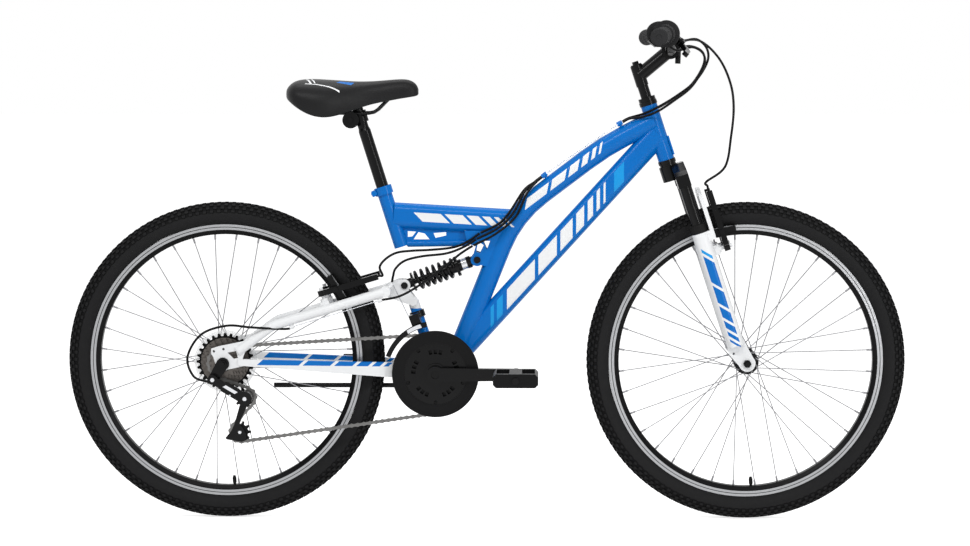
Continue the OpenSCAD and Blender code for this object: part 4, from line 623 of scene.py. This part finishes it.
def saddle_half(w, t, b):
    """Half a section of half width w, from its top t over its lower edge b to its underside."""
    h = t - b
    u = max(t - FOAM, b + 0.3 * h)
    return [(0, t), (0.4 * w, t - 0.03 * h), (0.7 * w, t - 0.12 * h), (0.9 * w, t - 0.3 * h),
            (w, t - 0.55 * h), (0.97 * w, b + 0.15 * h), (0.9 * w, b), (0.8 * w, b + 0.06 * h),
            (0.68 * w, b + 0.7 * (u - b)), (0.4 * w, u), (0, u)]


def make_saddle():
    """The padded cover: rings through the stations, with its two ends closed by strips."""
    verts, faces = [], []
    for s, w, t, b in STATIONS:
        half = saddle_half(w, t, b)
        ring = half + [(-y, z) for y, z in half[-2:0:-1]]
        n = len(ring)
        verts += [SADDLE_AT + np.array([s * SADDLE_LEN, y * MM, z * MM]) for y, z in ring]
    for i in range(len(STATIONS) - 1):
        a, b = i * n, (i + 1) * n
        faces += [(a + j, a + (j + 1) % n, b + (j + 1) % n, b + j) for j in range(n)]
    last = (len(STATIONS) - 1) * n
    for base, flip in ((0, True), (last, False)):
        for i in range(n // 2):
            quad = [base + i, base + i + 1, base + (n - i - 1) % n, base + (n - i) % n]
            quad = list(dict.fromkeys(quad))
            if len(quad) > 2:
                faces.append(tuple(reversed(quad)) if flip else tuple(quad))
    obj = new_piece("saddle_cover", verts, faces, "saddle_cover", smooth=math.radians(180))
    smooth = obj.modifiers.new("smooth", "SUBSURF")
    smooth.levels = smooth.render_levels = 2
    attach(obj, "seat")
    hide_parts("saddle")


# Cables, with their points in millimetres
def mm(points):
    return np.array(points, float) * MM


STEERING_ROUTES = {
    "rear_brake_housing": [
        [393.9, -105.3, 982.3], [396.6, -85.5, 983.2], [428, -52, 988], [450, -36, 970],
        [452, -28, 942], [428, -26, 903], [390, -26, 873], [350, -25, 849], [322, -14, 836],
        [294.9, 0, 827.8], [280.7, 0, 820.4]],
    "rear_shift_housing": [
        [351.9, -147.1, 984.3], [357.7, -105.5, 986.2], [386, -82, 966], [420, -62, 972],
        [443, -46, 958], [444, -37, 932], [420, -34, 892], [385, -33, 864], [350, -32, 841],
        [320, -22, 830], [295.6, -8.8, 826.5], [281.4, -8.8, 819.1]],
    "front_shift_housing": [
        [351.9, 147.1, 984.3], [357.7, 105.5, 986.2], [386, 82, 966], [420, 62, 974],
        [446, 42, 962], [448, 32, 936], [424, 28, 896], [388, 27, 868], [350, 26, 845],
        [320, 18, 832], [295.6, 8.8, 826.5], [281.4, 8.8, 819.1]]}
FRONT_BRAKE_ROUTE = [
    [393.9, 105.3, 982.3], [396.6, 85.5, 983.2], [440, 52, 985], [478, 20, 950], [500, -10, 900],
    [506, -30, 850], [500, -44, 790], [488, -50, 730], [450.1, -50, 699.3], [452.9, -40, 690.8],
    [455.4, -28, 683.2], [458.1, -18, 674.6]]
FRAME_ROUTES = [
    [[116.4, -8.8, 706.6], [102.2, -11.6, 694.6], [84.1, -21.2, 672.2], [62.1, -28.1, 626],
     [21, -34.5, 591.5], [-24, -33, 568]],
    [[115.5, 0, 707.7], [100.8, -3, 696.4], [80.7, -14.3, 676.7], [55.4, -25.2, 631.2],
     [24.5, -29, 602], [-17, -29, 581]],
    [[116.4, 8.8, 706.6], [101.1, 5.9, 696.1], [78.8, -5.9, 679.3], [49.8, -19.8, 635.5],
     [28, -22, 612], [-10, -24, 593]]]
FRAME_WIRES = [[[269.9, -8.8, 813.1], [125.9, -8.8, 713.9]],
               [[269.2, 0, 814.3], [125.1, 0, 715]],
               [[269.9, 8.8, 813.1], [125.9, 8.8, 713.9]]]
SUSPENSION_ROUTES = {
    "rear_brake_link": [
        [-11.8, -24.1, 592.1], [-38, -22, 574], [-66, -21, 563], [-110, -21, 558],
        [-150, -21, 556], [-182, -23, 552], [-204, -31, 540], [-216, -38, 524],
        [-210.2, -38, 507], [-217.8, -27, 504.7], [-225.5, -18, 502.4]],
    "front_shift_link": [
        [-18.8, -29, 580.1], [-45, -28, 564], [-80, -27, 551], [-130, -27, 545],
        [-165, -28, 536], [-184, -29, 520], [-189, -29, 505], [-191.5, -29, 492]],
    "rear_shift_link": [
        [-25.8, -32.9, 567.1], [-52, -33, 550], [-92, -33, 518], [-135, -35, 486],
        [-175, -38, 464], [-211.3, -42.6, 456.6]]}
SHIFT_LOOP = [
    [-390.7, -58.4, 403.6], [-408.8, -60, 398.3], [-475.5, -84, 404], [-525.5, -90, 408],
    [-577.5, -92, 390], [-605.5, -92, 344], [-593.5, -90, 304], [-564.5, -88, 293]]
REAR_WIRES = [[[-211.3, -42.6, 456.6], [-390.7, -58.4, 403.6]],
              [[-190.5, -29, 489], [-157.5, -40, 423]]]
# Where a brake's bare wire ends, across the wheel
BRAKE_WIRE_Y = 31.7
# Points to each span of a housing's smooth curve
CURVE_STEPS = 8


def housing(name, points):
    """One smooth housing."""
    path = catmull(mm(points), CURVE_STEPS)
    obj = new_piece(name, *sweep(path, HOUSING_R, 14), "cable_housing", smooth=math.radians(60))
    return obj


def wires(name, runs, body):
    """Straight bare wires, each between two points."""
    parts = [sweep(mm(run), WIRE_R, 8) for run in runs]
    new_piece(name, *merged(parts), "bare_steel", body, "cable_housing")


def brake_wire(name, start, body):
    """The bare wire from a brake housing's end straight across the wheel."""
    wires(name, [[start, [start[0], BRAKE_WIRE_Y, start[2]]]], body)


def make_cables():
    first = None
    for name, points in STEERING_ROUTES.items():
        obj = housing(name, points)
        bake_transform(obj)
        first = first or obj
    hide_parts("steering_cables")
    lead = housing("front_brake_housing", FRONT_BRAKE_ROUTE)
    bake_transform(lead)
    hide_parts("front_brake_cable")
    for i, points in enumerate(FRAME_ROUTES):
        obj = housing(f"frame_housing_{i + 1}", points)
        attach(obj, "frame")
        if i == 0:
            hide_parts("frame_cables")
    wires("frame_wires", FRAME_WIRES, "frame")
    first = None
    for name, points in SUSPENSION_ROUTES.items():
        obj = housing(name, points)
        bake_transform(obj)
        first = first or obj
    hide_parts("suspension_cables")
    loop = housing("rear_shift_loop", SHIFT_LOOP)
    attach(loop, "swingarm")
    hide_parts("rear_cables")
    wires("rear_wires", REAR_WIRES, "swingarm")
    brake_wire("front_brake_wire", FRONT_BRAKE_ROUTE[-1], "fork_lower_legs")
    brake_wire("rear_brake_wire", SUSPENSION_ROUTES["rear_brake_link"][-1], "swingarm")


# Chain
CHAIN_Y = -0.0545
LINK_PITCH = 0.0127
GUIDE, TENSION = REAR_AXLE + [0.0435, 0, -0.072], REAR_AXLE + [0.0318, 0, -0.143]
PLATE_T, PLATE_END_R, PLATE_WAIST = 0.0009, 0.0041, 0.0026
# Distance from the chain's middle to the inner and to the outer plates
INNER_GAP, OUTER_GAP = 0.0013, 0.0022
ROLLER_R, PIN_HALF = 0.0019, 0.0033
# How far a plate's round end goes on past its half circle
END_TURN = 0.7
RUN_STEPS = 60


def pitch_radius(teeth):
    return LINK_PITCH / (2 * math.sin(math.pi / teeth))


# Centre, radius, and the side the chain passes on
CHAIN_WHEELS = [(REAR_AXLE, pitch_radius(16), 1), (BB, pitch_radius(40), 1),
                (TENSION, pitch_radius(10), 1), (GUIDE, pitch_radius(10), -1)]


def chain_loop():
    """Points, in X and Z, close together along the chain's run over its four wheels."""
    def heading(a, b):
        away = (b[0] - a[0])[[0, 2]]
        rise = (b[2] * b[1] - a[2] * a[1]) / np.linalg.norm(away)
        return math.atan2(away[1], away[0]) + math.asin(rise)

    def touch(wheel, h):
        return wheel[0][[0, 2]] - wheel[2] * wheel[1] * np.array([math.sin(h), -math.cos(h)])

    points = []
    count = len(CHAIN_WHEELS)
    for i in range(count):
        a, b, c = (CHAIN_WHEELS[(i + k) % count] for k in range(3))
        h, after = heading(a, b), heading(b, c)
        points += list(np.linspace(touch(a, h), touch(b, h), RUN_STEPS, endpoint=False))
        bend = (b[2] * (h - after)) % (2 * math.pi)
        points += [touch(b, h - b[2] * t) for t in np.linspace(0, bend, RUN_STEPS, endpoint=False)]
    return np.array(points + points[:1])


def plate(corners, y, thickness):
    """A flat plate from y toward the rider's right, with its corners in X and Z."""
    k = len(corners)
    verts = [np.array([x, y - d, z]) for d in (0.0, thickness) for x, z in corners]
    faces = [tuple(range(k)), tuple(range(2 * k - 1, k - 1, -1))]
    return verts, faces + [(i, (i + 1) % k, k + (i + 1) % k, k + i) for i in range(k)]


def link_plate(a, b, y):
    """One plate with round ends and a waist, between two pins."""
    d = (b - a) / np.linalg.norm(b - a)
    n = np.array([-d[1], d[0]])
    outline = []
    for end, turn in ((a, 1), (b, -1)):
        arc = [end + PLATE_END_R * (math.cos(t) * n - turn * math.sin(t) * d)
               for t in np.linspace(-END_TURN, math.pi + END_TURN, 9)]
        outline += arc[::turn] + [(a + b) / 2 - turn * PLATE_WAIST * n]
    return plate(outline, y, PLATE_T)


def make_chain():
    """A roller chain: inner and outer plates in turn, and a roller on each pin."""
    path = chain_loop()
    run = np.concatenate([[0], np.cumsum(np.linalg.norm(np.diff(path, axis=0), axis=1))])
    count = 2 * round(run[-1] / LINK_PITCH / 2)
    at = np.linspace(0, run[-1], count, endpoint=False)
    pins = np.stack([np.interp(at, run, path[:, 0]), np.interp(at, run, path[:, 1])], axis=1)
    parts = []
    for k in range(count):
        a, b = pins[k], pins[(k + 1) % count]
        gap = INNER_GAP if k % 2 == 0 else OUTER_GAP
        for high in (gap + PLATE_T, -gap):
            parts.append(link_plate(a, b, CHAIN_Y + high))
        roller = [np.array([a[0], CHAIN_Y + y, a[1]]) for y in (-PIN_HALF, PIN_HALF)]
        parts.append(sweep(roller, ROLLER_R, 8))
    obj = new_piece("chain_links", *merged(parts), "chain_steel", "swingarm", "chain_steel",
                    math.radians(30))
    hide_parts("chain")


# Bolt heads and plain plates on the derailleurs
REAR_FACE, CAGE_FACE = -0.0921, -0.0605
BOLTS = [((-0.4900, REAR_FACE, 0.2580), 0.0042), ((-0.5555, REAR_FACE, 0.2970), 0.0042),
         ((-0.5037, CAGE_FACE, 0.1850), 0.0036), ((-0.5200, REAR_FACE, 0.2650), 0.0026)]
BOLT_EDGE, BOLT_TOP = 0.0012, 0.002
TRIM_T = 0.0006
# The front plate's two edges: radius from the bottom bracket and angles along it
BAND_EDGES = ((0.0995, (106, 112, 118, 124)), (0.1070, (123, 118, 112, 107)))
# The radius that stands for a centre
CENTRE_R = 0.0001


def bolt_head(at, r):
    profile = [(CENTRE_R, 0.0), (r, 0.0), (r, BOLT_EDGE), (r * 0.8, BOLT_TOP), (CENTRE_R, BOLT_TOP)]
    return revolve(profile, at, (0, -1, 0), (1, 0, 0), 20)


def make_trim():
    heads = [bolt_head(at, r) for at, r in BOLTS]
    new_piece("derailleur_bolts", *merged(heads), "silver_alloy", "swingarm", "bare_steel")
    bar = strip((-0.531, 0.2845), (-0.507, 0.2702), -0.0032, 0.0032, 0.6)
    band = [tuple(BB[[0, 2]] + r * np.array([math.cos(a), math.sin(a)]))
            for r, turns in BAND_EDGES for a in np.radians(turns)]
    plates = [plate(bar, REAR_FACE, TRIM_T), plate(band, CAGE_FACE, TRIM_T)]
    new_piece("derailleur_plates", *merged(plates), "silver_alloy", "swingarm", "bare_steel")


# Springs
def coil_path(base, axis, side, r, wire, length, turns, steps):
    """The middle of a coil's wire, with steps points to a turn."""
    axis, side = np.array(axis, float), np.array(side, float)
    other = np.cross(axis, side)
    count = int(turns * steps)
    points = []
    for i in range(count + 1):
        a = 2 * math.pi * i / steps
        rise = wire / 2 + (length - wire) * i / count
        points.append(np.array(base) + r * (math.cos(a) * side + math.sin(a) * other) + rise * axis)
    return points


SPRING_LOW, SPRING_TOP = 0.021, 0.112
COIL_R, COIL_WIRE, COIL_TURNS = 0.018, 0.0068, 6.5
FORK_SPRING_LOW, FORK_SPRING_TOP, FORK_TRAVEL = -239, -33, 0.06
FORK_COIL_R, FORK_WIRE, FORK_TURNS = 0.0089, 0.0026, 14
COIL_SMOOTH = math.radians(60)


def make_springs():
    base = SHOCK_LOW + SHOCK_DIR * SPRING_LOW
    length = SPRING_TOP - SPRING_LOW
    path = coil_path(base, SHOCK_DIR, (0, 1, 0), COIL_R, COIL_WIRE, length, COIL_TURNS, 20)
    coil = new_piece("shock_coil", *sweep(path, COIL_WIRE / 2, 12), "black_paint", "shock_lower",
                     "black_paint", COIL_SMOOTH)
    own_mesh(coil)
    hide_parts("shock_spring")
    parts = []
    length = (FORK_SPRING_TOP - FORK_SPRING_LOW) * MM
    for y in (-LEG_Y, LEG_Y):
        base = on_steer(LEG_X, y, FORK_SPRING_LOW)
        path = coil_path(base, STEER_Z, (0, 1, 0), FORK_COIL_R, FORK_WIRE, length, FORK_TURNS, 16)
        parts.append(sweep(path, FORK_WIRE / 2, 8))
    coils = new_piece("fork_coils", *merged(parts), "bare_steel", "steering", "bare_steel",
                      COIL_SMOOTH)
    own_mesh(coils)
    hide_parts("fork_springs")


# Grips
BAR_AT = np.array([0.370794, 0.105, 1.00157])
BAR_END = np.array([0.341597, 0.315, 0.992083])
GRIP_START, BAR_RUN, GRIP_R, BAR_R = 0.120, 0.2122, 0.0165, 0.0111
GRIP_RINGS, GROOVE, FIRST_RING, RINGS_SHORT = 11, 0.0011, 0.006, 0.016
GRIP_HOLE = BAR_R + 0.0002


def make_grips():
    """Soft grips with rings along them and a rolled end."""
    parts = []
    length = BAR_RUN - GRIP_START
    step = (length - RINGS_SHORT) / GRIP_RINGS
    profile = [(GRIP_HOLE, 0.0), (GRIP_R - 0.001, 0.0), (GRIP_R, 0.002)]
    for i in range(GRIP_RINGS):
        z = FIRST_RING + step * i
        profile += [(GRIP_R - GROOVE, z), (GRIP_R - GROOVE, z + 0.25 * step),
                    (GRIP_R, z + 0.35 * step), (GRIP_R, z + 0.9 * step)]
    profile += [(GRIP_R + 0.0008, length - 0.006), (GRIP_R + 0.0008, length),
                (GRIP_R - 0.0015, length + 0.003), (0.006, length + 0.003),
                (0.0045, length + 0.0018), (CENTRE_R, length + 0.0018),
                (CENTRE_R, length + 0.0004), (GRIP_HOLE, length + 0.0004)]
    for mirror in (1, -1):
        a, b = BAR_AT * (1, mirror, 1), BAR_END * (1, mirror, 1)
        d = (b - a) / np.linalg.norm(b - a)
        side = np.cross(d, (0, 0, 1))
        side /= np.linalg.norm(side)
        parts.append(revolve(profile, a + d * GRIP_START, d, side, 48))
    obj = new_piece("grip_sleeves", *merged(parts), "grip_rubber", "steering", "grip_rubber")
    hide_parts("grips")


# Floor and light
FLOOR_GLOW, WORLD_LIGHT = 0.72, 0.5
FLOOR_HALF, FLOOR_Z = 30.0, -0.0005
# Name, place, target, size and power of each lamp
LAMPS = [("key", (-0.5, -2.3, 2.7), (0, 0, 0.5), (3.4, 0.22), 52),
         ("fill", (2.3, -2.5, 1.3), (0, 0, 0.6), (0.2, 2.2), 28),
         ("top", (0.2, 0.6, 3.0), (0, 0, 0.4), (2.6, 1.2), 28)]


def seen_white(tree):
    """1 for rays that come from the camera, a reflection or a clear part."""
    path = tree.nodes.new("ShaderNodeLightPath")
    found = path.outputs["Is Camera Ray"]
    for kind in ("Is Glossy Ray", "Is Transmission Ray"):
        more = tree.nodes.new("ShaderNodeMath")
        more.operation = "MAXIMUM"
        tree.links.new(found, more.inputs[0])
        tree.links.new(path.outputs[kind], more.inputs[1])
        found = more.outputs[0]
    return found


def between(tree, factor, low, high):
    """A 0 to 1 value spread from low to high."""
    n = tree.nodes.new("ShaderNodeMapRange")
    n.inputs["To Min"].default_value = low
    n.inputs["To Max"].default_value = high
    tree.links.new(factor, n.inputs["Value"])
    return n.outputs["Result"]


def make_stage():
    """A white floor that glows for the camera and still takes the shadow."""
    mesh = bpy.data.meshes.new("floor")
    corners = [(x * FLOOR_HALF, y * FLOOR_HALF, FLOOR_Z)
               for x, y in ((-1, -1), (1, -1), (1, 1), (-1, 1))]
    mesh.from_pydata(corners, [], [(0, 1, 2, 3)])
    floor = bpy.data.objects.new("floor", mesh)
    bpy.context.scene.collection.objects.link(floor)
    material = bpy.data.materials.new("floor")
    material.use_nodes = True
    tree = material.node_tree
    shader = tree.nodes["Principled BSDF"]
    shader.inputs["Base Color"].default_value = (0.8, 0.8, 0.8, 1)
    shader.inputs["Roughness"].default_value = 0.9
    shader.inputs["Specular IOR Level"].default_value = 0.0
    shader.inputs["Emission Color"].default_value = (1, 1, 1, 1)
    glow = between(tree, seen_white(tree), 0.0, FLOOR_GLOW)
    tree.links.new(glow, shader.inputs["Emission Strength"])
    mesh.materials.append(material)


def make_world():
    world = bpy.data.worlds.new("world")
    bpy.context.scene.world = world
    world.use_nodes = True
    tree = world.node_tree
    back = tree.nodes["Background"]
    back.inputs["Color"].default_value = (1, 1, 1, 1)
    light = between(tree, seen_white(tree), WORLD_LIGHT, 1.0)
    tree.links.new(light, back.inputs["Strength"])


def make_lamp(name, at, target, size, power):
    data = bpy.data.lights.new(name, "AREA")
    data.shape = "RECTANGLE"
    data.size, data.size_y = size
    data.energy = power
    lamp = bpy.data.objects.new(name, data)
    lamp.location = at
    lamp.rotation_mode = "QUATERNION"
    lamp.rotation_quaternion = (Vector(target) - Vector(at)).to_track_quat("-Z", "Y")
    bpy.context.scene.collection.objects.link(lamp)


make_camera()
make_cables()
dress_cad()
make_tyre("front_tread_tyre", FRONT_AXLE, "front_wheel")
make_tyre("rear_tread_tyre", REAR_AXLE, "rear_wheel")
make_saddle()
make_springs()
make_chain()
make_trim()
make_grips()
make_stage()
make_world()
for lamp in LAMPS:
    make_lamp(*lamp)
bpy.context.scene.view_settings.view_transform = "Standard"
